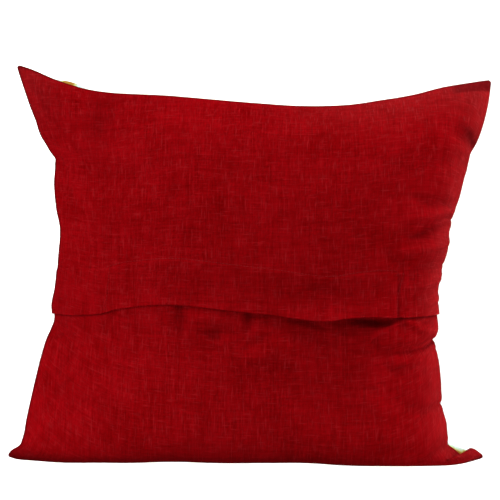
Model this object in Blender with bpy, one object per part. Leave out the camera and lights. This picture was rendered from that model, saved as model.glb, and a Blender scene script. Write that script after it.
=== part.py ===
"""A filled cushion cover that lies on its printed front, with the red closure side up.

The closure side is two panels of red cloth. The upper one laps over the lower one and ends in a hem, which is
stitched shut at both ends. +Y runs from the lower seam to the upper seam, +X to the right, +Z up.
"""

from collections import namedtuple

import bpy
import numpy as np

MM = 0.001

# Driving sizes, in millimetres.
SEAM_HEIGHT = 79.0
RED_CROWN = 98.0
PRINT_CROWN = 116.0
RIM_THICKNESS = 3.0
CLOTH_THICKNESS = 1.2
CLOTH_GAP = 0.4
LAP_DEPTH = 100.0
HEM_GAPE = 2.6

# The four corners, where the seams meet.
Corner = namedtuple("Corner", "x y rise")
LOWER_LEFT = Corner(-247.7, -195.4, -6.0)
LOWER_RIGHT = Corner(241.5, -196.4, -4.0)
UPPER_LEFT = Corner(-236.4, 205.2, 9.0)
UPPER_RIGHT = Corner(247.7, 191.9, 6.0)

# How far each seam is drawn in from the straight line between its corners.
# Side seams run upwards, the other two run to the right.
Station = namedtuple("Station", "along inset")
LEFT_SEAM = [
    Station(0.00, 0.0),
    Station(0.012, 2.8),
    Station(0.023, 11.5),
    Station(0.045, 15.5),
    Station(0.10, 20.0),
    Station(0.20, 27.5),
    Station(0.27, 33.5),
    Station(0.30, 37.5),
    Station(0.35, 45.0),
    Station(0.39, 43.4),
    Station(0.43, 45.4),
    Station(0.52, 48.0),
    Station(0.585, 49.4),
    Station(0.64, 44.2),
    Station(0.70, 41.0),
    Station(0.76, 41.0),
    Station(0.80, 32.2),
    Station(0.825, 26.0),
    Station(0.864, 20.4),
    Station(0.90, 14.4),
    Station(1.00, 0.0),
]
RIGHT_SEAM = [
    Station(0.00, 0.0),
    Station(0.045, 31.0),
    Station(0.07, 37.0),
    Station(0.10, 40.0),
    Station(0.15, 44.6),
    Station(0.20, 45.0),
    Station(0.25, 47.4),
    Station(0.31, 52.8),
    Station(0.34, 50.0),
    Station(0.38, 50.7),
    Station(0.44, 52.2),
    Station(0.50, 48.2),
    Station(0.533, 44.5),
    Station(0.60, 41.5),
    Station(0.62, 39.0),
    Station(0.65, 36.0),
    Station(0.70, 29.8),
    Station(0.76, 23.4),
    Station(0.80, 20.0),
    Station(0.84, 14.0),
    Station(0.88, 7.9),
    Station(0.94, 2.6),
    Station(1.00, 0.0),
]
LOWER_SEAM = [
    Station(0.00, 0.0),
    Station(0.05, -3.0),
    Station(0.12, -4.0),
    Station(0.22, -1.0),
    Station(0.35, 2.0),
    Station(0.65, 1.0),
    Station(0.80, -4.0),
    Station(0.88, -7.0),
    Station(0.95, -7.0),
    Station(1.00, 0.0),
]
UPPER_SEAM = [
    Station(0.00, 0.0),
    Station(0.03, 4.0),
    Station(0.08, 14.0),
    Station(0.15, 22.6),
    Station(0.33, 27.5),
    Station(0.50, 32.2),
    Station(0.60, 33.5),
    Station(0.76, 26.6),
    Station(0.84, 19.0),
    Station(0.90, 10.7),
    Station(0.97, 3.4),
    Station(1.00, 0.0),
]

# The red panel's hem across the cushion.
HemPoint = namedtuple("HemPoint", "x y")
HEM_LINE = [
    HemPoint(-197.3, -48.4),
    HemPoint(-164.4, -48.5),
    HemPoint(-144.4, -46.5),
    HemPoint(-130.9, -42.5),
    HemPoint(-117.6, -40.3),
    HemPoint(-95.4, -37.7),
    HemPoint(-77.4, -37.0),
    HemPoint(-53.6, -38.7),
    HemPoint(-26.0, -41.9),
    HemPoint(1.5, -44.8),
    HemPoint(26.1, -47.5),
    HemPoint(50.6, -51.1),
    HemPoint(68.4, -53.1),
    HemPoint(80.3, -53.2),
    HemPoint(93.2, -51.3),
    HemPoint(115.1, -49.5),
    HemPoint(150.2, -50.2),
    HemPoint(190.8, -49.1),
]
# Between these two places the hem is open, and outside them it is stitched down.
HEM_OPEN_LEFT = -144.5
HEM_OPEN_RIGHT = 149.7
# The hem gapes widest at its centre. Elsewhere it stands off by this least share of the gape, and it closes
# over these lengths towards its stitched ends.
HEM_GAPE_CENTRE = 92.0
HEM_GAPE_REACH = 62.0
HEM_GAPE_LEAST = 0.25
HEM_CLOSES_LEFT = 40.0
HEM_CLOSES_RIGHT = 25.0

# The crown is highest at this share of the way up, and this far aside of the middle.
PEAK = 0.265
PEAK_ASIDE = 0.12
# Its roundness: a larger squareness keeps it full further out, a smaller slope makes it rise more
# steeply from the seam.
LEFT_SQUARENESS = 3.4
LEFT_SLOPE = 0.71
RIGHT_SQUARENESS = 6.0
RIGHT_SLOPE = 0.63
BELOW_SQUARENESS = 7.8
BELOW_SLOPE = 0.66
ABOVE_SQUARENESS = 4.6
ABOVE_SLOPE = 0.42

# Broad lumps and hollows of the stuffing. They reach their full height where the crown has risen by
# this share.
Swell = namedtuple("Swell", "x y reach_x reach_y height")
SWELLS = [
    Swell(-100.0, -80.0, 95.0, 44.0, -6.0),
    Swell(62.0, -120.0, 95.0, 48.0, -6.0),
    Swell(0.0, 104.0, 95.0, 80.0, 4.0),
    Swell(120.0, 84.0, 95.0, 80.0, 6.0),
    Swell(205.0, 113.0, 95.0, 40.0, 6.0),
]
SWELLS_FULL_AT = 0.5
# The tight hem pulls a shallow valley into the upper cloth, which fades over this share of the width at
# both sides.
HEM_VALLEY = 3.6
HEM_VALLEY_ABOVE = 13.5
HEM_VALLEY_REACH = 22.0
HEM_VALLEY_ENDS = 0.25

# The lower cloth bulges past its own seam.
LOWER_BULGE = 13.0
LOWER_BULGE_AT = 0.075
# It fades towards each corner over these shares of the width, which leaves the ears flat.
LOWER_BULGE_FROM = 0.0
LOWER_BULGE_TO = 0.30
# Where the printed cloth swells past the seam at the upper left, and how far.
PRINT_SWELL = 7.0
PRINT_SWELL_AT = 0.11
PRINT_SWELL_REACH = 0.06
PRINT_SWELL_DEPTH = 0.03
# How softly the flat patch under the cushion begins, as a share of the seam's height.
FLAT_EASE = 0.1

# Main folds of the red cloth: from, to, half width and height. A negative height is a trough.
Fold = namedtuple("Fold", "x0 y0 x1 y1 width height")
RED_FOLDS = [
    # The upper left ear: its ridge, the hollow beside that, and a broad dent.
    Fold(-228.0, 196.0, -160.0, 104.0, 10.0, 4.0),
    Fold(-209.0, 130.0, -182.0, 112.0, 9.0, -4.5),
    Fold(-143.0, 158.0, -143.0, 130.0, 13.0, -4.5),
    # The upper right ear: the hollow and the ridge below it.
    Fold(240.0, 127.0, 204.0, 131.0, 9.0, -6.0),
    Fold(226.0, 112.0, 204.0, 90.0, 9.0, 3.0),
    # The fan at the right seam above the hem.
    Fold(207.0, 66.0, 160.0, 54.0, 9.0, 2.4),
    Fold(209.0, 49.0, 150.0, 20.0, 9.0, -4.5),
    Fold(206.0, 25.0, 140.0, 11.0, 9.0, 3.0),
    Fold(196.0, -19.0, 160.0, -35.0, 9.0, -2.6),
    # The left seam, above and below the hem.
    Fold(-200.0, 7.0, -156.0, 14.0, 9.0, -3.2),
    Fold(-206.0, -71.0, -172.0, -60.0, 9.0, -3.6),
    # The right seam below the hem.
    Fold(154.0, -52.0, 200.0, -68.0, 9.0, 2.6),
    Fold(194.0, -76.0, 125.0, -86.0, 9.0, -4.5),
    Fold(194.0, -92.0, 125.0, -105.0, 9.0, 3.0),
    # Under the hem: two short valleys, a long trough, the ridge below it and the pocket.
    Fold(-71.0, -38.0, -62.0, -64.0, 9.0, -3.0),
    Fold(5.0, -44.0, -3.0, -68.0, 9.0, -3.0),
    Fold(-34.0, -85.0, 40.0, -68.0, 9.0, -2.4),
    Fold(-12.0, -98.0, 64.0, -66.0, 9.0, 3.4),
    Fold(62.0, -60.0, 124.0, -56.0, 11.0, -4.0),
]

# Cells across and up, in the three bands that the hem and the hidden edge divide.
COLUMNS = 42
ROWS_BELOW_HEM = 15
ROWS_UNDER_LAP = 8
ROWS_ABOVE_LAP = 12
EDGE_CROWDING = 0.62

# A corner's rise fades along its seams with this power of the share.
CORNER_RISE_POWER = 4
# A fold loses this share of its squared height from its start to its end.
FOLD_FADE = 0.6
# The folds reach their full height where the crown has risen by this share.
FOLDS_FULL_AT = 0.25
# The upper cloth steps down off the lower one over these rows past the lap.
LAP_STEP_ROWS = 2
# Newton steps towards the hem's line, and the small share that measures the slope.
HEM_STEPS = 12
HEM_NUDGE = 1e-3
HEM_FIRST_GUESS = 0.4

RED = (0.140, 0.0014, 0.0026, 1.0)
PRINT_WHITE = (0.80, 0.78, 0.72, 1.0)
CLOTH_ROUGHNESS = 0.85


def smooth_curve(places, values, at):
    """Cubic Hermite curve through the values, with each slope the mean of its neighbours' slopes."""
    places = np.asarray(places, float)
    values = np.asarray(values, float)
    steps = np.diff(values) / np.diff(places)
    slopes = np.concatenate([steps[:1], (steps[1:] + steps[:-1]) / 2, steps[-1:]])
    at = np.clip(at, places[0], places[-1])
    i = np.clip(np.searchsorted(places, at, side="right") - 1, 0, len(places) - 2)
    span = places[i + 1] - places[i]
    t = (at - places[i]) / span
    from_start = (1 + 2 * t) * (1 - t) ** 2 * values[i] + t * (1 - t) ** 2 * span * slopes[i]
    from_end = t * t * (3 - 2 * t) * values[i + 1] + t * t * (t - 1) * span * slopes[i + 1]
    return from_start + from_end


def step(edge_from, edge_to, at):
    """A soft step from 0 to 1 between two places."""
    t = np.clip((at - edge_from) / (edge_to - edge_from), 0.0, 1.0)
    return t * t * (3 - 2 * t)


def seam(start, end, stations, share, inward):
    """Plan points of one seam: the straight line between its corners, drawn in by the stations."""
    inset = smooth_curve([s.along for s in stations], [s.inset for s in stations], share)
    x = start.x + (end.x - start.x) * share + inward[0] * inset
    y = start.y + (end.y - start.y) * share + inward[1] * inset
    rise = start.rise * (1 - share) ** CORNER_RISE_POWER + end.rise * share**CORNER_RISE_POWER
    return np.stack([x, y, rise], axis=-1)


def seam_plane(u, v):
    """A patch that spans the four seams: the mean of the two ruled surfaces less the corners' own patch."""
    left = seam(LOWER_LEFT, UPPER_LEFT, LEFT_SEAM, v, (1, 0))
    right = seam(LOWER_RIGHT, UPPER_RIGHT, RIGHT_SEAM, v, (-1, 0))
    lower = seam(LOWER_LEFT, LOWER_RIGHT, LOWER_SEAM, u, (0, 1))
    upper = seam(UPPER_LEFT, UPPER_RIGHT, UPPER_SEAM, u, (0, -1))
    u = u[..., None]
    v = v[..., None]
    corners = (
        (1 - u) * (1 - v) * np.array(LOWER_LEFT)
        + u * (1 - v) * np.array(LOWER_RIGHT)
        + (1 - u) * v * np.array(UPPER_LEFT)
        + u * v * np.array(UPPER_RIGHT)
    )
    return (1 - u) * left + u * right + (1 - v) * lower + v * upper - corners


def hem_share(u):
    """How far up the patch the hem lies in each column: a few Newton steps towards the hem's line."""
    v = np.full_like(u, HEM_FIRST_GUESS)
    for _ in range(HEM_STEPS):
        here = seam_plane(u, v)
        above = seam_plane(u, v + HEM_NUDGE)
        wanted = smooth_curve([p.x for p in HEM_LINE], [p.y for p in HEM_LINE], here[..., 0])
        v = v + (wanted - here[..., 1]) * HEM_NUDGE / (above[..., 1] - here[..., 1])
    return v


def crowded(count):
    """Places from 0 to 1 that lie closer together at both ends."""
    even = np.linspace(0.0, 1.0, count + 1)
    return (1 - EDGE_CROWDING) * even + EDGE_CROWDING * (1 - np.cos(np.pi * even)) / 2


def crowded_at_start(count):
    """Places from 0 to 1 that lie closer together near 0."""
    even = np.linspace(0.0, 1.0, count + 1)
    return (1 - EDGE_CROWDING) * even + EDGE_CROWDING * (1 - np.cos(np.pi / 2 * even))


def grid():
    """The patch's columns and rows. One row follows the hem, and one the edge hidden under the lap."""
    u = crowded(COLUMNS)
    hem = hem_share(u)
    lap = hem + LAP_DEPTH / (UPPER_LEFT.y - LOWER_LEFT.y)
    below = crowded_at_start(ROWS_BELOW_HEM)[:, None]
    under = np.linspace(0.0, 1.0, ROWS_UNDER_LAP + 1)[1:, None]
    above = 1 - crowded_at_start(ROWS_ABOVE_LAP)[::-1][1:, None]
    v = np.concatenate([hem * below, hem + (lap - hem) * under, lap + (1 - lap) * above])
    return np.broadcast_to(u, v.shape), v


def fullness(u, v):
    """The crown from 0 at the seams to 1: a round profile across times one upwards."""
    aside = 2 * u - 1
    aside = aside - PEAK_ASIDE * (1 - aside**2)
    below = np.clip((PEAK - v) / PEAK, 0, 1)
    above = np.clip((v - PEAK) / (1 - PEAK), 0, 1)
    squareness = np.where(aside < 0, LEFT_SQUARENESS, RIGHT_SQUARENESS)
    across = (1 - np.abs(aside) ** squareness) ** np.where(aside < 0, LEFT_SLOPE, RIGHT_SLOPE)
    up = (1 - below**BELOW_SQUARENESS) ** BELOW_SLOPE * (1 - above**ABOVE_SQUARENESS) ** ABOVE_SLOPE
    return across * up


def bell(at, centre, reach):
    """1 at its centre, and less with the square of the distance over its reach."""
    return np.exp(-(((at - centre) / reach) ** 2))


def swell_heights(u, plan, full):
    """The lumps and hollows of the stuffing, and the long valley above the hem."""
    x, y = plan[..., 0], plan[..., 1]
    lumps = sum(s.height * bell(x, s.x, s.reach_x) * bell(y, s.y, s.reach_y) for s in SWELLS)
    past_hem = y - smooth_curve([p.x for p in HEM_LINE], [p.y for p in HEM_LINE], x)
    ends = step(0.0, HEM_VALLEY_ENDS, np.minimum(u, 1 - u))
    valley = HEM_VALLEY * ends * bell(past_hem, HEM_VALLEY_ABOVE, HEM_VALLEY_REACH)
    return lumps * step(0.0, SWELLS_FULL_AT, full) - valley


def fold_heights(plan, folds):
    """The sum of the folds at each plan point: each falls off as a bell with the distance from its line."""
    total = np.zeros(plan.shape[:-1])
    for fold in folds:
        start = np.array([fold.x0, fold.y0])
        line = np.array([fold.x1, fold.y1]) - start
        share = np.clip((plan - start) @ line / (line @ line), 0, 1)
        away = np.linalg.norm(plan - start - share[..., None] * line, axis=-1)
        total += fold.height * np.exp(-((away / fold.width) ** 2)) * np.sqrt(1 - FOLD_FADE * share)
    return total


def red_side(u, v):
    """The upper face of the filled body, under the red cloth."""
    point = seam_plane(u, v)
    full = fullness(u, v)
    ends = step(LOWER_BULGE_FROM, LOWER_BULGE_TO, np.minimum(u, 1 - u))
    bulge = v / LOWER_BULGE_AT * np.exp(1 - v / LOWER_BULGE_AT)
    point[..., 1] -= LOWER_BULGE * bulge * ends
    folds = fold_heights(point[..., :2], RED_FOLDS) * step(0.0, FOLDS_FULL_AT, full)
    swells = swell_heights(u, point[..., :2], full)
    point[..., 2] += SEAM_HEIGHT + RIM_THICKNESS / 2 + RED_CROWN * full + swells + folds
    return point


def levelled(share):
    """A share of the depth that eases to exactly 1 where the cushion rests on the surface."""
    eased = share - (share - 1 + FLAT_EASE) ** 2 / (4 * FLAT_EASE)
    return np.where(share < 1 - FLAT_EASE, share, np.where(share < 1 + FLAT_EASE, eased, 1.0))


def print_side(u, v):
    """The lower face of the filled body: the printed cloth, flat where it rests."""
    point = seam_plane(u, v)
    seam_z = SEAM_HEIGHT + point[..., 2] - RIM_THICKNESS / 2
    depth = levelled(PRINT_CROWN / SEAM_HEIGHT * fullness(u, v))
    swell_across = np.exp(-(((u - PRINT_SWELL_AT) / PRINT_SWELL_REACH) ** 2))
    below_seam = (1 - v) / PRINT_SWELL_DEPTH
    swell_up = below_seam * np.exp(1 - below_seam)
    point[..., 1] += PRINT_SWELL * swell_across * swell_up
    point[..., 2] = seam_z * (1 - depth)
    return point


def normals_of(points):
    """Unit normals of a grid of points, from the differences along its columns and rows."""
    across = np.gradient(points, axis=1)
    up = np.gradient(points, axis=0)
    normal = np.cross(across, up)
    return normal / np.linalg.norm(normal, axis=-1, keepdims=True)


def grid_faces(rows, columns, start, flip):
    """Two triangles for each cell of a grid whose first point has this number."""
    i = np.arange(rows - 1)[:, None] * columns + np.arange(columns - 1)[None] + start
    a, b, c, d = i, i + 1, i + 1 + columns, i + columns
    faces = np.concatenate([np.stack([a, b, c], -1), np.stack([a, c, d], -1)]).reshape(-1, 3)
    return faces[:, ::-1] if flip else faces


def rim_of(rows, columns, start):
    """The numbers of a grid's outer points, once round."""
    index = np.arange(rows * columns).reshape(rows, columns) + start
    return np.concatenate([index[0, :-1], index[:-1, -1], index[-1, :0:-1], index[:0:-1, 0]])


def closed_between(top, bottom):
    """Points and faces of the closed body between two grids of the same shape."""
    rows, columns = top.shape[:2]
    count = rows * columns
    points = np.concatenate([top.reshape(-1, 3), bottom.reshape(-1, 3)])
    upper = rim_of(rows, columns, 0)
    lower = rim_of(rows, columns, count)
    upper_next = np.roll(upper, -1)
    lower_next = np.roll(lower, -1)
    wall = np.concatenate(
        [np.stack([upper, lower, lower_next], -1), np.stack([upper, lower_next, upper_next], -1)]
    )
    faces = np.concatenate(
        [grid_faces(rows, columns, 0, False), grid_faces(rows, columns, count, True), wall]
    )
    return points, faces


def cloth_material(name, colour):
    material = bpy.data.materials.new(name)
    material.use_nodes = True
    shader = material.node_tree.nodes["Principled BSDF"]
    shader.inputs["Base Color"].default_value = colour
    shader.inputs["Roughness"].default_value = CLOTH_ROUGHNESS
    shader.inputs["Metallic"].default_value = 0.0
    return material


def add_piece(name, top, bottom, material):
    """Makes one named object of the body between two grids."""
    points, faces = closed_between(top, bottom)
    mesh = bpy.data.meshes.new(name)
    mesh.from_pydata((points * MM).tolist(), [], faces.tolist())
    mesh.materials.append(material)
    mesh.shade_smooth()
    piece = bpy.data.objects.new(name, mesh)
    bpy.context.scene.collection.objects.link(piece)
    return piece


def hem_lift(plan, rows_above_hem):
    """How far the upper cloth stands off at its hem: only where it is open, and less with each row above."""
    open_part = step(HEM_OPEN_LEFT, HEM_OPEN_LEFT + HEM_CLOSES_LEFT, plan[..., 0])
    open_part = open_part * step(HEM_OPEN_RIGHT, HEM_OPEN_RIGHT - HEM_CLOSES_RIGHT, plan[..., 0])
    centre = np.exp(-(((plan[..., 0] - HEM_GAPE_CENTRE) / HEM_GAPE_REACH) ** 2))
    fade = np.exp(-rows_above_hem)
    return HEM_GAPE * open_part * (HEM_GAPE_LEAST + (1 - HEM_GAPE_LEAST) * centre) * fade


def build():
    for old in list(bpy.data.objects):
        bpy.data.objects.remove(old)
    red_cloth = cloth_material("red_cloth", RED)
    printed_cloth = cloth_material("printed_cloth", PRINT_WHITE)

    u, v = grid()
    body_top = red_side(u, v)
    body_bottom = print_side(u, v)
    outward = normals_of(body_top)
    add_piece("front_panel", body_top, body_bottom, printed_cloth)

    hem_row = ROWS_BELOW_HEM
    lap_row = ROWS_BELOW_HEM + ROWS_UNDER_LAP
    lower = slice(0, lap_row + 1)
    add_piece(
        "lower_back_panel",
        body_top[lower] + outward[lower] * (CLOTH_GAP + CLOTH_THICKNESS),
        body_top[lower] + outward[lower] * CLOTH_GAP,
        red_cloth,
    )

    upper = slice(hem_row, None)
    rows_above_hem = np.arange(body_top.shape[0] - hem_row)[:, None]
    past_lap = np.clip(rows_above_hem - ROWS_UNDER_LAP, 0, LAP_STEP_ROWS) / LAP_STEP_ROWS
    over_lower = (CLOTH_GAP + CLOTH_THICKNESS) * (1 - past_lap)
    stand_off = CLOTH_GAP + over_lower + hem_lift(body_top[upper], rows_above_hem)
    add_piece(
        "upper_back_panel",
        body_top[upper] + outward[upper] * (stand_off + CLOTH_THICKNESS)[..., None],
        body_top[upper] + outward[upper] * stand_off[..., None],
        red_cloth,
    )


build()
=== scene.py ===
# %% [markdown]
# # A filled cushion cover with its closure side up
#
# The object is a square cushion cover, stuffed full, that lies on its printed front. The camera sees its
# plain red back: two panels of linen-look cloth, of which the upper one laps over the lower one and ends in
# a hem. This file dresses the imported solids: it rebuilds each cloth as a fine surface on the same seams,
# lets Blender's cloth solver find the small puckers, and gives every cloth its weave.

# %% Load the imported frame
import math
from collections import namedtuple

import bpy
import numpy as np
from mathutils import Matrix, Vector


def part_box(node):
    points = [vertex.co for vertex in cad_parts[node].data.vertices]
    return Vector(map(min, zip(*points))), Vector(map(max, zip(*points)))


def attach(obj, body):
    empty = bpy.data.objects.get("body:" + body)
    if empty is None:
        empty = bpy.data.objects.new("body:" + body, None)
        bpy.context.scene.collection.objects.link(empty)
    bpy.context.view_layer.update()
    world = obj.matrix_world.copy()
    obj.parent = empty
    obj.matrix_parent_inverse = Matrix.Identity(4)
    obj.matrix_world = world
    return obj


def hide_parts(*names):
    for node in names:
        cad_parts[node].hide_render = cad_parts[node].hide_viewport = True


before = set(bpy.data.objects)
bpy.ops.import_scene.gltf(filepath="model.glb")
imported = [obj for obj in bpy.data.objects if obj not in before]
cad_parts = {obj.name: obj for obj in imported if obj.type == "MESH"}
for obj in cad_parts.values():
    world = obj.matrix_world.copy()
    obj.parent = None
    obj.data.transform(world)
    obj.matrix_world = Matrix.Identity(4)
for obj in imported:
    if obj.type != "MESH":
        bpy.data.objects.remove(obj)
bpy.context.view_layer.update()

MM = 0.001
body_low, body_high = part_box("front_panel")
print("box of the front panel in mm:", [round(x / MM, 1) for x in (*body_low, *body_high)])

# %% [markdown]
# ## Camera
#
# The photograph looks straight at the back of the cushion, with a long lens. The cushion lies down here, so
# the camera hangs straight above it. Its distance and lens are worked out from the photo's scale: one pixel
# of the 500 pixel frame is 1.03 mm of cushion, measured in the plane of the seams.

# %% Camera above the seams
PHOTO_PIXELS = 500
PIXEL = 1.03
SEAM_HEIGHT = 79.0
CAMERA_DISTANCE = 2200.0
SENSOR = 36.0
VIEW_CENTRE_X = 1.5
VIEW_CENTRE_Y = 16.7

camera_data = bpy.data.cameras.new("camera")
camera_data.sensor_width = SENSOR
camera_data.lens = SENSOR * CAMERA_DISTANCE / (PHOTO_PIXELS * PIXEL)
camera = bpy.data.objects.new("camera", camera_data)
camera.location = Vector((VIEW_CENTRE_X, VIEW_CENTRE_Y, SEAM_HEIGHT + CAMERA_DISTANCE)) * MM
bpy.context.scene.collection.objects.link(camera)
bpy.context.scene.camera = camera
bpy.context.scene.view_settings.view_transform = "Standard"
print("lens in mm:", round(camera_data.lens, 1))

# %% [markdown]
# ## Curves and soft steps
#
# Everything below is a function of numpy arrays. Two helpers do most of the work: a smooth curve through a
# few stations, and a soft step, which turns an effect on and off without an edge.

# %% Two helpers
def smooth_curve(places, values, at):
    """Cubic Hermite curve through the values, with each slope the mean of its neighbours' slopes."""
    places = np.asarray(places, float)
    values = np.asarray(values, float)
    steps = np.diff(values) / np.diff(places)
    slopes = np.concatenate([steps[:1], (steps[1:] + steps[:-1]) / 2, steps[-1:]])
    at = np.clip(at, places[0], places[-1])
    i = np.clip(np.searchsorted(places, at, side="right") - 1, 0, len(places) - 2)
    span = places[i + 1] - places[i]
    t = (at - places[i]) / span
    from_start = (1 + 2 * t) * (1 - t) ** 2 * values[i] + t * (1 - t) ** 2 * span * slopes[i]
    from_end = t * t * (3 - 2 * t) * values[i + 1] + t * t * (t - 1) * span * slopes[i + 1]
    return from_start + from_end


def step(edge_from, edge_to, at):
    """Soft step: 3 t^2 - 2 t^3, where t runs from 0 to 1 between the two places."""
    t = np.clip((at - edge_from) / (edge_to - edge_from), 0.0, 1.0)
    return t * t * (3 - 2 * t)


def bell(at, centre, reach):
    """Gaussian bell: e to the minus squared distance over reach."""
    return np.exp(-(((at - centre) / reach) ** 2))


print("a soft step at its middle:", float(step(0.0, 1.0, 0.5)))

# %% [markdown]
# ## The four seams
#
# A square cover that is stuffed full draws its sides in between the corners. Each seam is the straight line
# between its corners, drawn in by the insets of a short table, in millimetres. The sides are drawn in most,
# about 50 mm, and the corners stand out as ears. A notch is a small nip in a side seam. The lower right ear
# is nipped behind its tip, so that the tip curls up. The solids follow the same seams more simply.

# %% Corners and insets
Corner = namedtuple("Corner", "x y rise")
LOWER_LEFT = Corner(-247.7, -195.4, -6.0)
LOWER_RIGHT = Corner(241.5, -196.4, -4.0)
UPPER_LEFT = Corner(-236.4, 205.2, 9.0)
UPPER_RIGHT = Corner(247.7, 189.6, 6.0)
CORNER_RISE_POWER = 4

LEFT_ALONG = [0.00, 0.012, 0.023, 0.045, 0.10, 0.20, 0.27, 0.30, 0.35, 0.39, 0.43, 0.52, 0.585, 0.64, 0.70,
              0.76, 0.80, 0.825, 0.864, 0.90, 1.00]
LEFT_INSET = [0.0, 4.2, 11.5, 15.5, 19.4, 27.5, 33.9, 37.5, 45.0, 44.2, 46.9, 49.2, 50.1, 45.2, 41.4, 40.8,
              32.2, 26.0, 20.4, 14.4, 0.0]
RIGHT_ALONG = [0.00, 0.035, 0.06, 0.10, 0.15, 0.20, 0.25, 0.31, 0.34, 0.38, 0.44, 0.50, 0.533, 0.60, 0.62,
               0.65, 0.70, 0.76, 0.777, 0.80, 0.84, 0.88, 0.94, 1.00]
RIGHT_INSET = [0.0, 35.0, 38.0, 41.0, 45.4, 46.0, 48.2, 52.8, 50.0, 51.4, 53.0, 48.8, 45.0, 42.0, 39.8,
               37.2, 30.0, 25.2, 24.9, 21.8, 13.4, 7.9, 2.6, 0.0]
LOWER_ALONG = [0.00, 0.02, 0.05, 0.12, 0.22, 0.35, 0.45, 0.55, 0.65, 0.80, 0.88, 0.95, 1.00]
LOWER_INSET = [0.0, -2.4, -3.6, -5.2, -2.2, 1.4, 0.4, 0.6, 1.0, -4.6, -7.0, -6.2, 0.0]
UPPER_ALONG = [0.00, 0.03, 0.08, 0.15, 0.33, 0.50, 0.60, 0.70, 0.76, 0.84, 0.90, 0.97, 0.985, 1.00]
UPPER_INSET = [0.0, 4.5, 14.0, 22.9, 26.9, 31.3, 32.8, 30.1, 25.1, 17.3, 8.9, 2.3, 1.0, 0.0]
print("corners in mm:", LOWER_LEFT, LOWER_RIGHT, UPPER_LEFT, UPPER_RIGHT)

# %% Notches, seams and the surface between them
Notch = namedtuple("Notch", "along depth reach")
LEFT_NOTCHES = [Notch(0.765, 1.6, 0.010)]
RIGHT_NOTCHES = [
    Notch(0.020, -3.6, 0.010),
    Notch(0.143, 1.4, 0.007),
    Notch(0.289, 2.2, 0.008),
    Notch(0.314, 3.0, 0.007),
    Notch(0.416, 1.8, 0.008),
    Notch(0.4815, 1.2, 0.007),
    Notch(0.516, 1.2, 0.006),
    Notch(0.565, 1.8, 0.007),
    Notch(0.634, 1.8, 0.007),
]
NOTCH_FADE = 0.035
CURL_ALONG = [0.0, 0.004, 0.009, 0.014, 0.017, 0.020, 0.023, 0.026, 0.030, 0.040, 0.055, 0.09]
CURL_RISE = [0.0, 1.4, 2.9, 2.0, -0.8, -4.6, -8.4, -7.4, -5.2, -3.5, -2.4, 0.0]
CURL_FADE = 0.045


def notch_depth(notches, share):
    """How far the nips of a seam draw it in: a bell for each."""
    return sum(notch.depth * bell(share, notch.along, notch.reach) for notch in notches)


def seam(start, end, along, insets, share, inward):
    """Points of one seam: start + share * (end - start), plus the inset along the inward direction."""
    inset = smooth_curve(along, insets, share)
    x = start.x + (end.x - start.x) * share + inward[0] * inset
    y = start.y + (end.y - start.y) * share + inward[1] * inset
    rise = start.rise * (1 - share) ** CORNER_RISE_POWER + end.rise * share**CORNER_RISE_POWER
    return np.stack([x, y, rise], axis=-1)


def seam_plane(u, v):
    """Coons patch: the two ruled surfaces between opposite seams, less the corners' bilinear patch."""
    left = seam(LOWER_LEFT, UPPER_LEFT, LEFT_ALONG, LEFT_INSET, v, (1, 0))
    right = seam(LOWER_RIGHT, UPPER_RIGHT, RIGHT_ALONG, RIGHT_INSET, v, (-1, 0))
    lower = seam(LOWER_LEFT, LOWER_RIGHT, LOWER_ALONG, LOWER_INSET, u, (0, 1))
    upper = seam(UPPER_LEFT, UPPER_RIGHT, UPPER_ALONG, UPPER_INSET, u, (0, -1))
    u = u[..., None]
    v = v[..., None]
    corners = (
        (1 - u) * (1 - v) * np.array(LOWER_LEFT)
        + u * (1 - v) * np.array(LOWER_RIGHT)
        + (1 - u) * v * np.array(UPPER_LEFT)
        + u * v * np.array(UPPER_RIGHT)
    )
    patch = (1 - u) * left + u * right + (1 - v) * lower + v * upper - corners
    patch[..., :1] += notch_depth(LEFT_NOTCHES, v) * np.exp(-u / NOTCH_FADE)
    patch[..., :1] -= notch_depth(RIGHT_NOTCHES, v) * np.exp((u - 1) / NOTCH_FADE)
    return patch


def curled_ear(u, v):
    """The lower right ear is nipped behind its tip, which curls up: a shift in y that fades inwards."""
    return smooth_curve(CURL_ALONG, CURL_RISE, v) * np.exp((u - 1) / CURL_FADE)


middle = seam_plane(np.array([0.5]), np.array([0.5]))[0]
print("middle of the seam plane in mm:", middle.round(1))

# %% [markdown]
# ## The hem's line and the grid
#
# The upper panel ends in a hem that wanders a little across the cushion. The panels' grids are bent so that
# one row follows that line: the upper panel can then end on a clean row of points, and both panels share
# the same columns. Points are spaced more closely where much happens, such as at the seams.

# %% Grid with a row on the hem
HEM_X = [-197.3, -164.4, -144.4, -130.9, -117.6, -95.4, -77.4, -53.6, -26.0, 1.5, 26.1, 50.6, 68.4, 80.3,
         93.2, 115.1, 150.2, 190.8]
HEM_Y = [-48.4, -48.5, -46.5, -42.5, -40.3, -37.7, -37.0, -38.7, -41.9, -44.8, -47.5, -51.1, -53.1, -53.2,
         -51.3, -49.5, -50.2, -49.1]
LAP_DEPTH = 100.0
HEM_STEPS = 12
HEM_NUDGE = 1e-3
HEM_FIRST_GUESS = 0.4
LAP_SHARE = LAP_DEPTH / (UPPER_LEFT.y - LOWER_LEFT.y)
SPACING_SAMPLES = 4001
Crowd = namedtuple("Crowd", "at reach strength")


def hem_share(u):
    """Newton steps for the share up the patch where the plan's y meets the hem's line."""
    v = np.full_like(u, HEM_FIRST_GUESS)
    for _ in range(HEM_STEPS):
        here = seam_plane(u, v)
        above = seam_plane(u, v + HEM_NUDGE)
        wanted = smooth_curve(HEM_X, HEM_Y, here[..., 0])
        v = v + (wanted - here[..., 1]) * HEM_NUDGE / (above[..., 1] - here[..., 1])
    return v


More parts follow.
